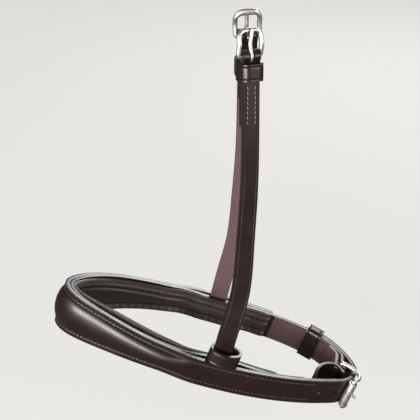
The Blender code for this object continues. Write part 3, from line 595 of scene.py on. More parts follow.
def leather(name, dye, worn_dye, low_gloss, high_gloss, pore_depth, wrinkle=0.0, shine=0.3, coat=0.0,
            sheen=0.0):
    """Leather: two close dye colours in soft patches, pores pressed in, gloss that changes with the dye."""
    finish, tree, shader, place = new_finish(name)
    patch = add_noise(tree, place, 1 / DYE_PATCH, 5.0).outputs["Fac"]
    dyes = add_node(tree, "ShaderNodeMix", {"Factor": patch, 6: colour(dye), 7: colour(worn_dye)},
                    data_type='RGBA')
    pores = add_node(tree, "ShaderNodeTexVoronoi", {"Vector": place, "Scale": 1 / PORE_SIZE,
                                                    "Randomness": 1.0})
    fine = add_noise(tree, place, FINE_PORE_SHARE / PORE_SIZE, 3.0)
    folds = add_noise(tree, place, 1 / WRINKLE_SIZE, 4.0, Distortion=0.8)
    grain = add_math(tree, 'ADD', pores.outputs["Distance"], fine.outputs["Fac"])
    relief = add_math(tree, 'MULTIPLY_ADD', folds.outputs["Fac"], wrinkle, grain)
    set_sockets(tree, shader, {
        "Base Color": dyes.outputs[2], "Roughness": spread(tree, patch, low_gloss, high_gloss),
        "Normal": bumped(tree, relief, pore_depth, PORE_HEIGHT), "Specular IOR Level": shine,
        "Coat Weight": coat, "Coat Roughness": 0.15, "Sheen Weight": sheen, "Sheen Roughness": 0.5})
    print(name, "dyed", dye)
    return finish


GRAIN = leather("glazed_bridle_leather", "#120705", "#1B0E09", 0.34, 0.44, 0.10, shine=0.35, coat=0.12)
FLESH = leather("flesh_side", "#412F2D", "#4E3A38", 0.85, 0.95, 0.55, wrinkle=0.6, shine=0.2, sheen=0.2)
EDGE = leather("burnished_edge", "#160E0C", "#1F1512", 0.30, 0.42, 0.05, shine=0.40, coat=0.20)
LINING = leather("lining_leather", "#2A211D", "#372C28", 0.34, 0.46, 0.20, wrinkle=0.8, shine=0.45)
FILLING = leather("padding_felt", "#5B5047", "#6A5E54", 0.90, 0.95, 0.6)

# %% Satin nickel
SCRATCH_SIZE = 0.0004
SCRATCH_LONG_SHARE = 0.12
SCRATCH_STRENGTH = 0.06
CLOUD_SIZE = 0.004
FINE_HEIGHT = 0.0001


def satin_metal(name, tone, low_rough, high_rough):
    """Plated metal, polished with a fine wheel: hairlines in one direction and soft clouds of handling."""
    finish, tree, shader, place = new_finish(name)
    stretched = add_node(tree, "ShaderNodeMapping",
                         {"Vector": place, "Scale": (1.0, 1.0, SCRATCH_LONG_SHARE)})
    lines = add_noise(tree, stretched.outputs[0], 1 / SCRATCH_SIZE, 2.0)
    clouds = add_noise(tree, place, 1 / CLOUD_SIZE, 3.0)
    set_sockets(tree, shader, {
        "Base Color": colour(tone), "Metallic": 1.0,
        "Roughness": spread(tree, clouds.outputs["Fac"], low_rough, high_rough),
        "Normal": bumped(tree, lines.outputs["Fac"], SCRATCH_STRENGTH, FINE_HEIGHT)})
    return finish


NICKEL = satin_metal("satin_nickel", "#CFCBC3", 0.36, 0.50)
print("metal", NICKEL.name)

# %% Waxed thread, painted in a lit and a shaded tone
TWIST_PITCH = 0.0007
TWIST_STRENGTH = 0.5
WAVE_TURN = 6.28


def waxed_thread(name, dye):
    """Linen thread of two strands: its twist shows as slanted bands across each stitch."""
    finish, tree, shader, place = new_finish(name)
    twist = add_node(tree, "ShaderNodeTexWave",
                     {"Vector": place, "Scale": 1 / TWIST_PITCH / WAVE_TURN, "Distortion": 1.0},
                     bands_direction='DIAGONAL')
    set_sockets(tree, shader, {"Base Color": colour(dye), "Roughness": 0.5,
                               "Normal": bumped(tree, twist.outputs["Fac"], TWIST_STRENGTH, FINE_HEIGHT)})
    return finish


# One thread in two tones: the lighter one is painted as it looks lit on the hanging straps, the darker one is
# painted shade for stitches sunk in the grooves of the nose and the lining.
THREAD = waxed_thread("waxed_linen_thread", "#655650")
GROOVE_SHADED_THREAD = waxed_thread("dark_waxed_linen_thread", "#3F2B25")
print("threads", THREAD.name, "and", GROOVE_SHADED_THREAD.name)

# %% [markdown]
# ## Stitching
# Saddle stitches lie a little aslant, each in its own pricked slot, eight or nine to the inch. One stitch is
# modelled as a short rounded thread and copied to each place. All the stitches of a strap become one piece,
# laid on the same track as the leather under it.

# %% One row after another
STITCH_PITCH = 0.0030
STITCH_LENGTH = 0.0023
THREAD_RADIUS = 0.00034
STITCH_SLANT_DEG = 14.0
STITCH_SUNK = 0.4
STITCH_BODY_SHARE = 0.7
STITCH_END_SHARE = 0.45
END_ON_SHARE = 0.9


def stitch_shape():
    """One stitch: a short thread with drawn-in ends."""
    clean_select()
    bpy.ops.mesh.primitive_cylinder_add(
        vertices=6, radius=THREAD_RADIUS, depth=STITCH_LENGTH * STITCH_BODY_SHARE,
        rotation=(0, math.pi / 2, 0), end_fill_type='NGON')
    stitch = bpy.context.active_object
    bpy.ops.object.transform_apply(location=False, rotation=True, scale=False)
    pick_faces(stitch, lambda face: abs(face.normal.x) > END_ON_SHARE)
    bpy.ops.mesh.extrude_region_shrink_fatten(TRANSFORM_OT_shrink_fatten={"value": 0.0})
    bpy.ops.object.mode_set(mode='OBJECT')
    flat = coordinates(stitch)
    ends = np.array([vertex.select for vertex in stitch.data.vertices])
    flat[ends, 0] += np.sign(flat[ends, 0]) * STITCH_LENGTH * (1 - STITCH_BODY_SHARE) / 2
    flat[ends, 1:] *= STITCH_END_SHARE
    flat[ends, 2] -= THREAD_RADIUS / 2
    set_coordinates(stitch, flat)
    return stitch


# Unless another is given, stitches take the thread that is painted darker for the shade in a sunk groove.
def stitch_row(name, spots, track, body, thread=GROOVE_SHADED_THREAD):
    """Copies the stitch to each spot (length, across, height, slant sign) and lays them all on the track."""
    shape = stitch_shape()
    flat = coordinates(shape)
    faces = [list(face.vertices) for face in shape.data.polygons]
    bpy.data.objects.remove(shape, do_unlink=True)
    points, polygons = [], []
    for x, y, z, sign in spots:
        turn = np.array(Matrix.Rotation(math.radians(STITCH_SLANT_DEG) * sign, 3, 'Z'))
        first = len(points) * len(flat)
        points.append(flat @ turn.T + [x, y, z + THREAD_RADIUS * (1 - STITCH_SUNK)])
        polygons += [[first + index for index in face] for face in faces]
    mesh = bpy.data.meshes.new(name)
    mesh.from_pydata(np.vstack(points).tolist(), [], polygons)
    rows = bpy.data.objects.new(name, mesh)
    bpy.context.scene.collection.objects.link(rows)
    rows.data.materials.append(thread)
    rows.data.shade_smooth()
    lay(rows, track)
    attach(rows, body)
    print(name, len(spots), "stitches")


def both_edges(first, last, off_middle, height, slant=1):
    """Spots for even rows of stitches on both sides of the middle, slanted as mirror images."""
    count = max(2, round((last - first) / STITCH_PITCH))
    places = first + (last - first) * np.arange(count + 1) / count
    return [(x, side * off_middle(x), height(x), side * slant) for side in (-1, 1) for x in places]


print("stitches are", round(STITCH_PITCH * 1000, 1), "mm apart")

# %% [markdown]
# ## The outer strap
# The outer ply shows most. It is wide and raised over a filler on the nose, narrows to the cheeks, and runs
# on as the billet through the chin buckle. A stitched groove follows the foot of the raised part, and where
# the stitching stops a crease takes over. It is shaped flat: first its outline and holes, then its heights.

# %% The billet's way through the buckle
BILLET_LEAVES = 0.033
BILLET_JOINS = 0.021
BILLET_STAND_OUT = 0.0041
KEEPER_FROM_CHIN = 0.0510
TIP_PAST_KEEPER = 0.014
TIP_TAPER = 0.016
TIP_WIDTH = 0.007
OUTER_FAR_ARC = 0.185
HEEL = np.array([LOOP_LENGTH / 2 - HEEL_BACK, HEEL_SIDE])
ALONG = np.array([math.cos(math.radians(BUCKLE_DEG)), math.sin(math.radians(BUCKLE_DEG))])
OUT = -ALONG @ RIGHT
FOLD_RADIUS = BUCKLE_WIRE + GAP + BASE_THICK


def by_buckle(forward, out):
    """A place in plan given from the buckle's heel bar."""
    return HEEL + ALONG * forward + OUT * out


def line_outs(line, side=1):
    """Outward ways beside a line in plan."""
    return unit(np.gradient(line, axis=0)) @ RIGHT * side


near_end = CHIN_ARC - BILLET_LEAVES
far_start = CHIN_ARC + BILLET_JOINS
tip_end = CHIN_ARC + KEEPER_FROM_CHIN + TIP_PAST_KEEPER
beside = -(OUT + ALONG) / math.sqrt(2)
by_roller = by_buckle(BUCKLE_REACH, 0) + beside * (ROLLER_RADIUS + BUCKLE_CLEAR)
past_fold = by_buckle(BUCKLE_REACH / 3, FOLD_RADIUS + OUTER_THICK + BILLET_STAND_OUT)
billet = spline([inset(near_end, 0), by_roller, past_fold, inset(far_start, 0)],
                start=along(near_end), end=along(far_start))
first_arcs = np.arange(-OUTER_FAR_ARC, near_end, FINE_STEP)
last_arcs = np.append(np.arange(far_start, tip_end, FINE_STEP)[1:], tip_end)
outer_track = in_space(np.vstack([inset(first_arcs, 0), billet, inset(last_arcs, 0)]),
                       np.vstack([outward(first_arcs), line_outs(billet), outward(last_arcs)]))
print("outer strap is", round(outer_track.length * 1000), "mm long")

# %% The outer strap, flat
STITCH_INSET = 0.0034
HOLE_RADIUS = 0.0021
HOLE_PITCH = 0.0135
HOLE_FIRST = 0.0222
HOLES = 2
CROSSING_SHARE = 0.55
STITCH_END_ARC = 0.212
CROWN_FULL = 1.5
CROWN_POWER = 2.2
CROWN_EASE = 0.8
OUTER_INSETS = [0.0, 0.0008, 0.0014, 0.0019, 0.0022, 0.0025, 0.0029, 0.0034, 0.0039, 0.0044, 0.0048]
CREASE_INSET = 0.0022


def tip_share(left):
    """The strap's width at a distance from its tip, as a share of its full width."""
    gone = 1.0 - np.clip(left / TIP_TAPER, 0.0, 1.0)
    return (TIP_WIDTH + (STRAP_WIDTH - TIP_WIDTH) * np.sqrt(1.0 - gone ** 2)) / STRAP_WIDTH


def outer_half(lengths):
    """Half the outer strap's width at a length along it."""
    return band_width(lengths - OUTER_FAR_ARC) / 2 * tip_share(outer_track.length - lengths)


def outer_height(flat):
    """The crown of the nose above its own foot, less the groove or crease beside it."""
    half = outer_half(flat[:, 0])
    raised = nose_raise(flat[:, 0] - OUTER_FAR_ARC)
    share = np.clip(np.abs(flat[:, 1]) / (half - RAISE_MARGIN), 0.0, 1.0)
    crown = raised * CROWN_FULL * (1.0 - share ** CROWN_POWER) ** CROWN_EASE
    line = np.where(flat[:, 0] < STITCH_END_ARC + OUTER_FAR_ARC, STITCH_INSET, CREASE_INSET)
    return crown - raised + crease(flat[:, 1], half, line)


strap = cut_strip("outer_leather", outer_track.length, OUTER_INSETS, outer_half)
crossing = near_end + OUTER_FAR_ARC + Line(billet).length * CROSSING_SHARE
hole_lengths = [crossing] + [crossing - HOLE_FIRST - HOLE_PITCH * i for i in range(HOLES)]
for x in hole_lengths:
    punch_hole(strap, x, 0.0, HOLE_RADIUS)
set_heights(strap, outer_height)
finish_strip(strap, OUTER_THICK, [GRAIN, FLESH, EDGE])
lay(strap, outer_track)
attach(strap, "noseband")
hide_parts("outer_strap")
print("outer leather has", len(strap.data.polygons), "faces and", len(hole_lengths), "holes")

# %% Stitches along both edges
STITCH_START = 0.004

spots = both_edges(STITCH_START, STITCH_END_ARC + OUTER_FAR_ARC, lambda x: outer_half(x) - STITCH_INSET,
                   lambda x: -nose_raise(x - OUTER_FAR_ARC) - CREASE_DEEP)
stitch_row("nose_stitching", spots, outer_track, "noseband")

# %% [markdown]
# ## The base strap
# The second ply lies inside the first. On the near side it ends past the hanging strap, and on the far side
# it is the working strap: it carries the chin buckle, folds round the buckle's heel bar and is stitched back.
# Its flesh side faces the horse, so it shows pale and matt from inside.

# %% The base strap's track
BASE_NEAR_ARC = 0.203
TURN_BACK = 0.012
TURN_EASE_SHARE = 0.45
SLOT_HALF = 0.0016
SLOT_REACH = 0.0065

join = far_start
fold_angles = np.linspace(0, math.pi, 7)
fold = [by_buckle(FOLD_RADIUS * math.sin(angle), FOLD_RADIUS * math.cos(angle)) for angle in fold_angles]
under = OUTER_THICK + GAP
back = under + BASE_THICK + GAP + BASE_THICK
leave = spline([inset(join, under), fold[0]], start=-along(join), end=ALONG)
bend = spline(fold, start=ALONG, end=-ALONG, steps=8)
later = join + TURN_BACK * TURN_EASE_SHARE
turned = spline([fold[-1], inset(later, back)], start=-ALONG, end=along(later))
turned_arcs = np.append(np.arange(later, join + TURN_BACK, FINE_STEP)[1:], join + TURN_BACK)
folded = np.vstack([leave, bend[1:], turned[1:], inset(turned_arcs, back)])
base_arcs = np.arange(BASE_NEAR_ARC, far_start - outline.length, -FINE_STEP)
base_track = in_space(np.vstack([inset(base_arcs, base_depth(base_arcs)), folded]),
                      np.vstack([outward(base_arcs), line_outs(folded, -1)]))
past_fold_length = TURN_BACK * (1 - TURN_EASE_SHARE) + Line(turned).length + Line(bend).length / 2
fold_length = base_track.length - past_fold_length
print("base strap is", round(base_track.length * 1000), "mm long, folded at", round(fold_length * 1000))

# %% The base strap, flat
FLESH_SHOWS = 0.115
BASE_INSETS = [0.0, 0.0008, 0.0016, 0.0022, 0.0028, 0.0038]

strap = cut_strip("base_leather", base_track.length, BASE_INSETS,
                  lambda lengths: band_width(BASE_NEAR_ARC - lengths) / 2)
punch_hole(strap, fold_length, 0.0, SLOT_HALF, SLOT_REACH)
finish_strip(strap, BASE_THICK, [GRAIN, FLESH, EDGE])
for face in strap.data.polygons:
    length = face.center.x
    if face.material_index == 1 and length < base_track.length - FLESH_SHOWS:
        face.material_index = 2
    elif face.material_index == 0 and length > fold_length - FOLD_RADIUS:
        face.material_index = 1
set_heights(strap, lambda flat: flat[:, 2] * base_share(BASE_NEAR_ARC - flat[:, 0]))
lay(strap, base_track)
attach(strap, "noseband")
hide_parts("base_strap")
print("base leather has", len(strap.data.polygons), "faces")

# %% [markdown]
# ## The padded lining
# Soft leather covers a foam pad that runs round the nose and cheeks. It is rolled over cord-like edges at
# top and bottom, and a sewn line holds it down beside each roll, so its section is a shallow tray between two
# soft rolls. The pad is shaped flat, with puckers along the sewn lines, and then laid inside the base strap.

# %% The lining's profile
LINING_ARC = 0.1777
LINING_NEAR_MORE = 0.0030
LINING_FAR_MORE = 0.0070
PAD_THICK = 0.0036
ROLL_RISE = 0.0016
ROLL_HALF = 0.0030
ROLL_SOFT_SHARE = 0.75
SEAM_INSET = 0.0066
SEAM_DEEP = 0.0012
SEAM_SOFT = 0.0011
MIDDLE_RISE = 0.0012
MIDDLE_EASE = 0.7
PUCKER_PITCH = 0.0062
PUCKER_DEEP = 0.00018
PUCKER_INSET_SHARE = 0.75
PUCKER_SOFT = 0.0028
PAD_INSETS = [0.0, 0.0004, 0.0010, 0.0017, 0.0025, 0.0034, 0.0043, 0.0051, 0.0058, 0.0063, 0.0067, 0.0072,
              0.0080, 0.0090]
PAD_END = 0.006
PAD_END_SHARE = 0.45

lining_first = -LINING_ARC - LINING_FAR_MORE
lining_last = LINING_ARC + LINING_NEAR_MORE
lining_arcs = np.append(np.arange(lining_first, lining_last, FINE_STEP), lining_last)
lining_depths = base_depth(lining_arcs) + BASE_THICK * base_share(lining_arcs) + GAP
lining_track = in_space(inset(lining_arcs, lining_depths), outward(lining_arcs))


def pad_half(lengths):
    return band_width(lengths + lining_first) / 2


def pad_swell(lengths, across):
    """How far the lining stands in from its flat outer side."""
    half = pad_half(lengths)
    inset_here = half - np.abs(across)
    body = PAD_THICK * np.clip(inset_here / ROLL_HALF, 0, 1) ** 0.5
    roll = ROLL_RISE * bell(inset_here - ROLL_HALF, ROLL_HALF * ROLL_SOFT_SHARE)
    middle = MIDDLE_RISE * np.clip(1.0 - (across / (half - SEAM_INSET)) ** 2, 0.0, 1.0) ** MIDDLE_EASE
    seam = SEAM_DEEP * bell(inset_here - SEAM_INSET, SEAM_SOFT)
    pucker = PUCKER_DEEP * np.sin(lengths / PUCKER_PITCH * 2 * math.pi + np.sign(across))
    pucker *= bell(inset_here - SEAM_INSET * PUCKER_INSET_SHARE, PUCKER_SOFT)
    ends = np.clip(np.minimum(lengths, lining_track.length - lengths) / PAD_END, 0.0, 1.0)
    fullness = PAD_END_SHARE + (1 - PAD_END_SHARE) * np.sqrt(1.0 - (1.0 - ends) ** 2)
    return (body + roll + middle - seam + pucker) * fullness


def pad_height(flat):
    """The outer side stays flat, and the inner side swells."""
    swell = np.maximum(pad_swell(flat[:, 0], flat[:, 1]), GAP)
    return np.where(flat[:, 2] < -PAD_THICK / 2, -swell, flat[:, 2])


print("lining is", round(lining_track.length * 1000), "mm long")

# %% The padded lining, flat and then laid
pad = cut_strip("padded_lining", lining_track.length, PAD_INSETS, pad_half)
pad.data.materials.append(LINING)
apply_modifier(pad, 'SOLIDIFY', thickness=PAD_THICK, offset=-1.0, use_even_offset=False)
set_heights(pad, pad_height)
lay(pad, lining_track)
pad.data.shade_smooth()
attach(pad, "noseband")
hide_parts("lining", "padding_foam")
print("padded lining has", len(pad.data.polygons), "faces")

# %% Stitches along the lining's sewn lines
SEAM_SHARE = 0.8

spots = both_edges(PAD_END, lining_track.length - PAD_END, lambda x: pad_half(x) - SEAM_INSET,
                   lambda x: -PAD_THICK - 2 * THREAD_RADIUS + SEAM_DEEP * SEAM_SHARE)
stitch_row("lining_stitching", spots, lining_track, "noseband")

# %% [markdown]
# ## The chin guard
# A flap of soft leather stands behind the buckle, so that it doesn't pinch. It starts inside the buckle at
# the fold of the base strap, and arches round towards the near side.

# %% The guard's track and flap
GUARD_THICK = 0.0022
GUARD_RISE = 0.0007
GUARD_INSETS = [0.0, 0.0008, 0.0014, 0.0018, 0.0022, 0.0030]
GUARD_CREASE = 0.0018
GUARD_START_SHARES = (0.45, -0.75)
GUARD_REACH_SHARE = 0.55
GUARD_BOW_SHARES = (-0.10, 0.28)

sewn = [by_buckle(BUCKLE_REACH * GUARD_START_SHARES[0], FOLD_RADIUS * GUARD_START_SHARES[1]),
        by_buckle(BUCKLE_CLEAR, -FOLD_RADIUS - GAP * 2)]
guard_end = inset(CHIN_ARC - BILLET_LEAVES - STRAP_WIDTH * GUARD_REACH_SHARE, OUTER_THICK + BUCKLE_CLEAR)
bow = (sewn[1] + guard_end) / 2 + STRAP_WIDTH * np.array(GUARD_BOW_SHARES)
guard_line = spline(sewn + [bow, guard_end])
guard_track = in_space(guard_line, line_outs(guard_line, -1))


def guard_half(lengths):
    return (STRAP_WIDTH / 2 + GUARD_RISE) * tip_share(guard_track.length - lengths)


guard = cut_strip("chin_guard_leather", guard_track.length, GUARD_INSETS, guard_half)
set_heights(guard, lambda flat: crease(flat[:, 1], guard_half(flat[:, 0]), GUARD_CREASE))
finish_strip(guard, GUARD_THICK, [GRAIN, LINING, EDGE])
lay(guard, guard_track)
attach(guard, "noseband")
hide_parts("chin_guard")
print("guard has", len(guard.data.polygons), "faces")

# %% [markdown]
# ## The hanging straps
# Each strap is sewn in between the plies, and leans and turns on its way to the top, where it folds round a
# buckle's heel bar and is stitched back on its inside. The near one comes up through a ring keeper. A strap
# is one length of leather, so it is one piece here.

# %% A hanging strap's route
TOP_KEEPER_DROP = 0.0042
NECK = TOP_KEEPER_DROP - GAP
TOP_WIRE = 0.0016
TOP_TONGUE = 0.0013
TOP_BUCKLE_REACH = 0.0160
HANGER_DROP = 0.007
HANGER_SET_DEG = 6.0
HANGER_PIVOT = 0.0290
HANGER_HEIGHT = 0.2240
HANGER_TOP_LEAN = 0.0265
HANGER_TOP_SPREAD = 0.0080
FAR_HANGER_RISE = 0.0091
FAR_LEAN_LESS = 0.0018
HANGER_TURN_DEG = 27.0
FAR_TURN_LESS_DEG = 17.0
FAR_KEEPER_SLIP = 0.0125
HANGER_TURN_BACK = 0.040
HANGER_ROUTE_SHARES = [
    (0.275, 0.81, 0.14), (0.45, 0.94, 0.31), (0.61, 1.01, 0.50), (0.81, 1.02, 0.76), (1.0, 1.0, 1.0)]
SEPARATION = HANGER_THICK + GAP
TOP_FOLD = TOP_WIRE + GAP + HANGER_THICK / 2
SLOT_LOW = TOP_WIRE + TOP_TONGUE * 2 + GAP * 2
BEND_STEPS = 16


class Hanger:
    """The route of one hanging strap, from its sewn end to the end that is turned back at the top."""

    def __init__(self, name, side):
        far = side > 0
        self.name = name
        self.side = side
        self.arc = -side * (HANGER_ARC + (FAR_ARC_MORE if far else 0))
        self.depth = nose_raise(self.arc) + OUTER_THICK + GAP
        self.pivot = self.sewn(HANGER_PIVOT)
        start = (self.sewn(HANGER_PIVOT + HANGER_THICK) - self.pivot).normalized()
        way = tipped(*along(self.arc) * -side)
        self.axis = (way - start * way.dot(start)).normalized()
        height = HANGER_HEIGHT + (FAR_HANGER_RISE if far else 0)
        top_lean = HANGER_TOP_LEAN - (FAR_LEAN_LESS if far else 0)
        turn = math.radians(HANGER_TURN_DEG - (FAR_TURN_LESS_DEG if far else 0))
        self.turned = Vector((math.cos(turn), math.sin(turn), 0))
        self.keeper_drop = TOP_KEEPER_DROP + (FAR_KEEPER_SLIP if far else 0)
        top_y = side * HANGER_TOP_SPREAD
        points = [self.pivot]
        for rise, lean, way_in in HANGER_ROUTE_SHARES:
            side_y = self.pivot.y + (top_y - self.pivot.y) * way_in
            points.append(Vector((lean * top_lean, side_y, rise * height)))
        self.route = Line(spline(points, start=start))
        self.top, self.top_out, self.top_across, self.top_up = self.frame_at(self.route.length)
        self.bar = self.top - self.top_out * SEPARATION / 2
        self.make_track()

    def sewn(self, height):
        """A place in the middle of the sewn end."""
        shift = self.side * height * math.tan(math.radians(HANGER_SET_DEG))
        return tipped(*inset(self.arc + shift, self.depth + HANGER_THICK / 2), height)

    def frame_at(self, length):
        """Place, way out, way across and way up the strap."""
        step = self.route.length / len(self.route.dense)
        up = Vector(self.route.at(length + step) - self.route.at(length - step)).normalized()
        across = self.axis.lerp(self.turned, float(smooth_share(length / self.route.length)))
        across = (across - up * across.dot(up)).normalized()
        return Vector(self.route.at(length)), across.cross(up) * -self.side, across, up

    def half_width(self, lengths):
        """Half the strap's width at each length: it narrows from its base."""
        passed = (lengths - HANGER_DROP - HANGER_PIVOT) / self.route.length / HANGER_TAPER_SHARE
        return (HANGER_WIDTH + (HANGER_BASE_WIDTH - HANGER_WIDTH) * (1.0 - smooth_share(passed))) / 2

    def make_track(self):
        """Runs the track over the strap's outer face: up the route, over the bar and down again."""
        places, outs = [], []

        def add(middle, out):
            places.append(middle + out * HANGER_THICK / 2)
            outs.append(out)

        base_out = self.frame_at(0.0)[1]
        for height in np.arange(-HANGER_DROP, HANGER_PIVOT, FINE_STEP):
            add(self.sewn(height), base_out)
        top = self.route.length - NECK
        for length in np.arange(0.0, top, FINE_STEP):
            place, out = self.frame_at(length)[:2]
            add(place, out)
        half = SEPARATION / 2
        rise = spline([(half, -NECK), (TOP_FOLD, 0)], start=(0, 1), end=(0, 1), steps=6)
        angles = np.arange(1, BEND_STEPS + 1) * math.pi / BEND_STEPS
        turn = np.stack([np.cos(angles), np.sin(angles)], axis=1) * TOP_FOLD
        fall = spline([(-TOP_FOLD, 0), (-half, -NECK)], start=(0, -1), end=(0, -1), steps=6)
        bend = np.vstack([rise, turn, fall[1:]])
        for (away, up), out in zip(bend, line_outs(bend)):
            add(self.bar + self.top_out * away + self.top_up * up,
                self.top_out * out[0] + self.top_up * out[1])
        for length in np.arange(top, top - HANGER_TURN_BACK, -FINE_STEP)[1:]:
            place, out = self.frame_at(length)[:2]
            add(place - out * SEPARATION, -out)
        self.track = Track(places, outs)
        self.neck = HANGER_DROP + HANGER_PIVOT + top
        self.bend_middle = self.neck + Line(bend).length / 2


hangers = [Hanger("near", -1), Hanger("far", 1)]
for hanger in hangers:
    print(hanger.name, "strap is", round(hanger.track.length * 1000), "mm long, bar at",
          [round(v, 4) for v in hanger.bar])

# %% The hanging straps, cut flat and laid
HANGER_INSETS = [0.0, 0.0007, 0.0011, 0.0014, 0.0017, 0.0020, 0.0024, 0.0031]
HANGER_CREASE = 0.0017
HANGER_STITCH_INSET = 0.0031


def hanger_height(flat, hanger):
    """Creases along both edges, but none where the strap folds over the bar."""
    pressed = crease(flat[:, 1], hanger.half_width(flat[:, 0]), HANGER_CREASE)
    return pressed * (np.abs(flat[:, 0] - hanger.bend_middle) > TOP_FOLD * 2)


up = tipped(0, 0, 1).normalized()
for hanger in hangers:
    strap = cut_strip(f"{hanger.name}_hanging_strap", hanger.track.length, HANGER_INSETS, hanger.half_width)
    slot_reach = hanger.bend_middle - hanger.neck + SLOT_LOW - NECK
    punch_hole(strap, hanger.bend_middle, 0.0, SLOT_HALF, slot_reach)
    set_heights(strap, lambda flat: hanger_height(flat, hanger))
    finish_strip(strap, HANGER_THICK, [GRAIN, FLESH, EDGE])
    lay(strap, hanger.track)
    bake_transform(strap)
    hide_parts(f"{hanger.name}_hanger", f"{hanger.name}_hanger_tail")
    print(strap.name, "has", len(strap.data.polygons), "faces")

# %% Stitches that hold the turned-back ends
KEEPER_ROOM = 0.0150
END_ROOM = 0.003
THREAD_SETTLED = 0.0001

for hanger in hangers:
    front = (hanger.neck - HANGER_TURN_BACK + END_ROOM, hanger.neck - KEEPER_ROOM, 1)
    rear = (hanger.track.length - HANGER_TURN_BACK + KEEPER_ROOM, hanger.track.length - END_ROOM, -1)
    spots = []
    for first, last, slant in (front, rear):
        spots += both_edges(first, last, lambda x: HANGER_WIDTH / 2 - HANGER_STITCH_INSET,
                            lambda x: -THREAD_SETTLED, slant)
    stitch_row(f"{hanger.name}_strap_stitching", spots, hanger.track, f"{hanger.name}_strap", THREAD)

# %% [markdown]
# ## Keepers and rings
# A keeper is a short strip whose ends are butted and sewn. Its round is an oval at the foot of the near
# hanging strap and a rounded oblong elsewhere. The strip is laid round a closed track, so its ends meet in
# one seam on a hidden side.

# %% Closed strips
KEEPER_INSETS = [0.0, 0.0005, 0.0009, 0.0012, 0.0015, 0.0018, 0.0022, 0.0028]
KEEPER_CREASE = 0.0015
KEEPER_STEP = 0.0006
KEEPER_STEPS = 80
KEEPER_ROUND_SHARE = 0.32


def rounded_oblong(half_first, half_second, radius, front_radius, steps=8):
    """A closed outline with rounded corners, from the end of one side round and back."""
    corners = []
    for first_side, second_side, start in ((1, -1, -90), (1, 1, 0), (-1, 1, 90), (-1, -1, 180)):
        radius_here = front_radius if first_side > 0 else radius
        for step in range(steps + 1):
            angle = math.radians(start + 90 * step / steps)
            corners.append((first_side * (half_first - radius_here) + radius_here * math.cos(angle),
                            second_side * (half_second - radius_here) + radius_here * math.sin(angle)))
    return corners


def keeper_ring(name, outline_points, centre, first, second, width, wall, body, node):
    """A strip of leather laid round a closed outline whose plane is given by two directions."""
    line = Line(outline_points + outline_points[:1])
    steps = max(KEEPER_STEPS, len(line.dense) * 2)
    even = line.at(np.linspace(0, line.length, steps))
    wrapped = np.vstack([even[-2:-1], even, even[1:2]])
    plane = np.array([first, second])
    track = Track(np.array(centre) + even @ plane, unit(wrapped[2:] - wrapped[:-2]) @ RIGHT @ plane)
    for seam in (track.outs, track.sides):
        seam[[0, -1]] = (seam[0] + seam[-1]) / 2
    strip = cut_strip(name, track.length, KEEPER_INSETS, lambda lengths: width / 2, step=KEEPER_STEP)
    set_heights(strip, lambda flat: crease(flat[:, 1], width / 2, KEEPER_CREASE))
    finish_strip(strip, wall, [GRAIN, FLESH, EDGE], edge=min(EDGE_ROUND, wall * KEEPER_ROUND_SHARE))
    lay(strip, track)
    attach(strip, body)
    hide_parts(node)
    print(name, "is", round(track.length * 1000, 1), "mm round")


print("a keeper has columns every", round(KEEPER_STEP * 1000, 1), "mm")

# %% Ring keeper at the near hanging strap's foot
RING_WIDTH = 0.0235
RING_DEPTH = 0.0150
RING_HEIGHT = 0.0112
RING_WALL = 0.0019
RING_STEPS = 72

hanger = hangers[0]
height = band_width(hanger.arc) / 2 + GAP + RING_HEIGHT / 2
angles = np.arange(RING_STEPS) * 2 * math.pi / RING_STEPS
oval = [(RING_WIDTH / 2 * math.sin(angle), -RING_DEPTH / 2 * math.cos(angle)) for angle in angles]
keeper_ring("near_ring", oval, tipped(*inset(hanger.arc, hanger.depth + HANGER_THICK / 2), height),
            tipped(*along(hanger.arc)), tipped(*outward(hanger.arc)), RING_HEIGHT, RING_WALL,
            "near_ring", "near_ring_keeper")

# %% Fixed keepers under the top buckles
TOP_KEEPER_HEIGHT = 0.0106
TOP_KEEPER_WALL = 0.0018
TOP_KEEPER_ROOM = 0.0030
TOP_KEEPER_FRONT = 0.0052

for hanger in hangers:
    middle = hanger.route.length - hanger.keeper_drop - TOP_KEEPER_HEIGHT / 2
    place, out, side, up = hanger.frame_at(middle)
    low = -HANGER_THICK / 2 - SEPARATION - GAP - TOP_KEEPER_WALL
    high = HANGER_THICK / 2 + TOP_KEEPER_ROOM + TOP_KEEPER_WALL
    oblong = rounded_oblong((high - low) / 2, HANGER_WIDTH / 2 + GAP + TOP_KEEPER_WALL, TOP_KEEPER_WALL,
                            TOP_KEEPER_FRONT)
    keeper_ring(f"{hanger.name}_keeper", oblong, place + out * (high + low) / 2, out, side,
                TOP_KEEPER_HEIGHT, TOP_KEEPER_WALL, f"{hanger.name}_strap", f"{hanger.name}_hanger_keeper")

# %% Loose keeper at the chin
KEEPER_WIDTH = 0.012
KEEPER_WALL = 0.0017
KEEPER_CLEAR = 0.0009
KEEPER_CORNER = 0.0036

arc = CHIN_ARC + KEEPER_FROM_CHIN
deep = OUTER_THICK + GAP + BASE_THICK
oblong = rounded_oblong(deep / 2 + KEEPER_CLEAR + KEEPER_WALL, STRAP_WIDTH / 2 + KEEPER_CLEAR + KEEPER_WALL,
                        KEEPER_CORNER, KEEPER_CORNER)
keeper_ring("loose_chin_keeper", oblong, tipped(*inset(arc, deep / 2)), tipped(*outward(arc)),
            tipped(0, 0, 1), KEEPER_WIDTH, KEEPER_WALL, "chin_keeper", "chin_keeper")

# %% [markdown]
# ## Buckles
# The frame's bars and tongues have the right shape but few sides. A copy of each is merged, its triangles are
# joined back into quads and two levels of subdivision make it round. Subdivision draws a bar in, so the copy
# is fattened by what it loses. The roller is a plain tube, as the real one is.

# %% Finer metal from the frame's own bars
MERGE = 0.00001
SIDES = 8
LEVELS = 2
FLAT_DEG = 30
SQUARE_DEG = 80


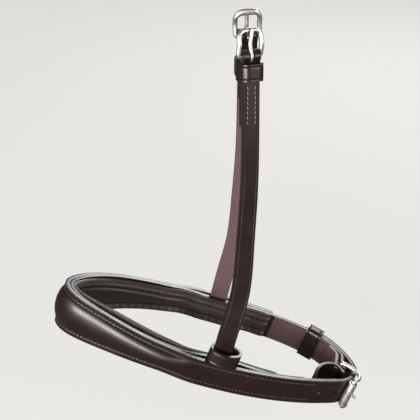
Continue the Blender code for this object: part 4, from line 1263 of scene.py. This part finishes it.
def edit_whole(piece, *steps):
    """Runs mesh operators, each given with its settings, on all of a piece."""
    select_only(piece)
    bpy.ops.object.mode_set(mode='EDIT')
    bpy.ops.mesh.select_mode(type='EDGE')
    bpy.ops.mesh.select_all(action='SELECT')
    for operator, settings in steps:
        operator(**settings)
    bpy.ops.object.mode_set(mode='OBJECT')


def finer(node, name, body, radius):
    """A smooth copy of a CAD node's mesh that stands for it."""
    mesh = nodes[node].data.copy()
    piece = bpy.data.objects.new(name, mesh)
    bpy.context.scene.collection.objects.link(piece)
    mesh.materials.clear()
    mesh.materials.append(NICKEL)
    shrunk = radius * (1 - (2 + math.cos(2 * math.pi / SIDES)) / 3)
    edit_whole(piece, (bpy.ops.mesh.remove_doubles, {"threshold": MERGE}),
               (bpy.ops.mesh.tris_convert_to_quads, {"face_threshold": math.radians(FLAT_DEG),
                                                     "shape_threshold": math.radians(SQUARE_DEG)}),
               (bpy.ops.transform.shrink_fatten, {"value": shrunk}))
    mesh.polygons.foreach_set("material_index", [0] * len(mesh.polygons))
    apply_modifier(piece, 'SUBSURF', levels=LEVELS, render_levels=LEVELS)
    piece.data.shade_smooth()
    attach(piece, body)
    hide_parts(node)
    print(name, "has", len(piece.data.polygons), "faces")


CHIN_TONGUE = 0.0011
finer("chin_buckle_frame", "chin_buckle_bars", "chin_frame", BUCKLE_WIRE)
finer("chin_tongue", "chin_buckle_tongue", "chin_tongue", CHIN_TONGUE)
for hanger in hangers:
    finer(f"{hanger.name}_buckle_frame", f"{hanger.name}_buckle_bars", f"{hanger.name}_frame", TOP_WIRE)
    finer(f"{hanger.name}_buckle_tongue", f"{hanger.name}_buckle_pin", f"{hanger.name}_tongue", TOP_TONGUE)

# %% A stouter end bar, and tongues as they have worn
STOUT = 0.32
PIN_BEND = 0.0013
PIN_SHORTER = 0.0016


def shift(name, hanger, way, amount):
    """Moves a top buckle's points one way, by an amount that follows their height over the heel bar."""
    piece = bpy.data.objects[name]
    places = coordinates(piece)
    up = (places - np.array(hanger.bar)) @ np.array(hanger.top_up)
    set_coordinates(piece, places + np.outer(amount(up), way))


def stouter(up):
    off = up - TOP_BUCKLE_REACH
    near_bar = 1.0 - smooth_share((np.abs(off) / TOP_WIRE - 1.0) / 2.0)
    return STOUT * np.clip(off, -TOP_WIRE, TOP_WIRE) * near_bar


def bent(up):
    return PIN_BEND * np.sin(np.clip(up / TOP_BUCKLE_REACH, 0.0, 1.0) * math.pi) ** 2


def shorter(up):
    return -PIN_SHORTER * np.clip(up / TOP_BUCKLE_REACH - 0.5, 0.0, 1.0) * 2


near, far = hangers
shift("far_buckle_bars", far, far.top_up, stouter)
shift("near_buckle_pin", near, near.top_across * near.side, bent)
shift("far_buckle_pin", far, far.top_up, shorter)
print("top buckles reshaped")

# %% The roller
ROLLER_SIDES = 48
ROLLER_BEVEL = 0.0004
ROLLER_CORNER_DEG = 50
BAR_SHARE = 1.3

roller_axis = tipped(0, 0, 1)
roller_middle = tipped(*by_buckle(BUCKLE_REACH, 0))
roller_half = STRAP_WIDTH / 2 + BUCKLE_CLEAR + BUCKLE_WIRE - BUCKLE_WIRE * BAR_SHARE - GAP

clean_select()
bpy.ops.mesh.primitive_circle_add(vertices=ROLLER_SIDES, radius=ROLLER_RADIUS, fill_type='NOTHING',
                                  location=(0, 0, -roller_half))
roller = bpy.context.active_object
roller.name = "roller_sleeve"
bpy.ops.object.transform_apply(location=True, rotation=False, scale=False)
raised = {"value": (0, 0, roller_half * 2)}
edit_whole(roller, (bpy.ops.mesh.extrude_region_move, {"TRANSFORM_OT_translate": raised}))
apply_modifier(roller, 'SOLIDIFY', thickness=ROLLER_RADIUS - BUCKLE_WIRE - GAP, offset=-1.0)
edit_whole(roller, (bpy.ops.mesh.normals_make_consistent, {"inside": False}))
apply_modifier(roller, 'BEVEL', width=ROLLER_BEVEL, segments=3, limit_method='ANGLE',
               angle_limit=math.radians(ROLLER_CORNER_DEG))
roller.data.materials.append(NICKEL)
upright = roller_axis.to_track_quat('Z', 'Y').to_matrix().to_4x4()
roller.data.transform(Matrix.Translation(roller_middle) @ upright)
smooth_by_angle(roller, SMOOTH_DEG)
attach(roller, "chin_roller")
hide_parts("chin_roller")
print("roller is", round(roller_half * 2000, 1), "mm long and has", len(roller.data.polygons), "faces")

# %% Finish for the hidden filler
for slot_ in nodes["nose_core"].material_slots:
    slot_.material = FILLING
print("nose filler finished")
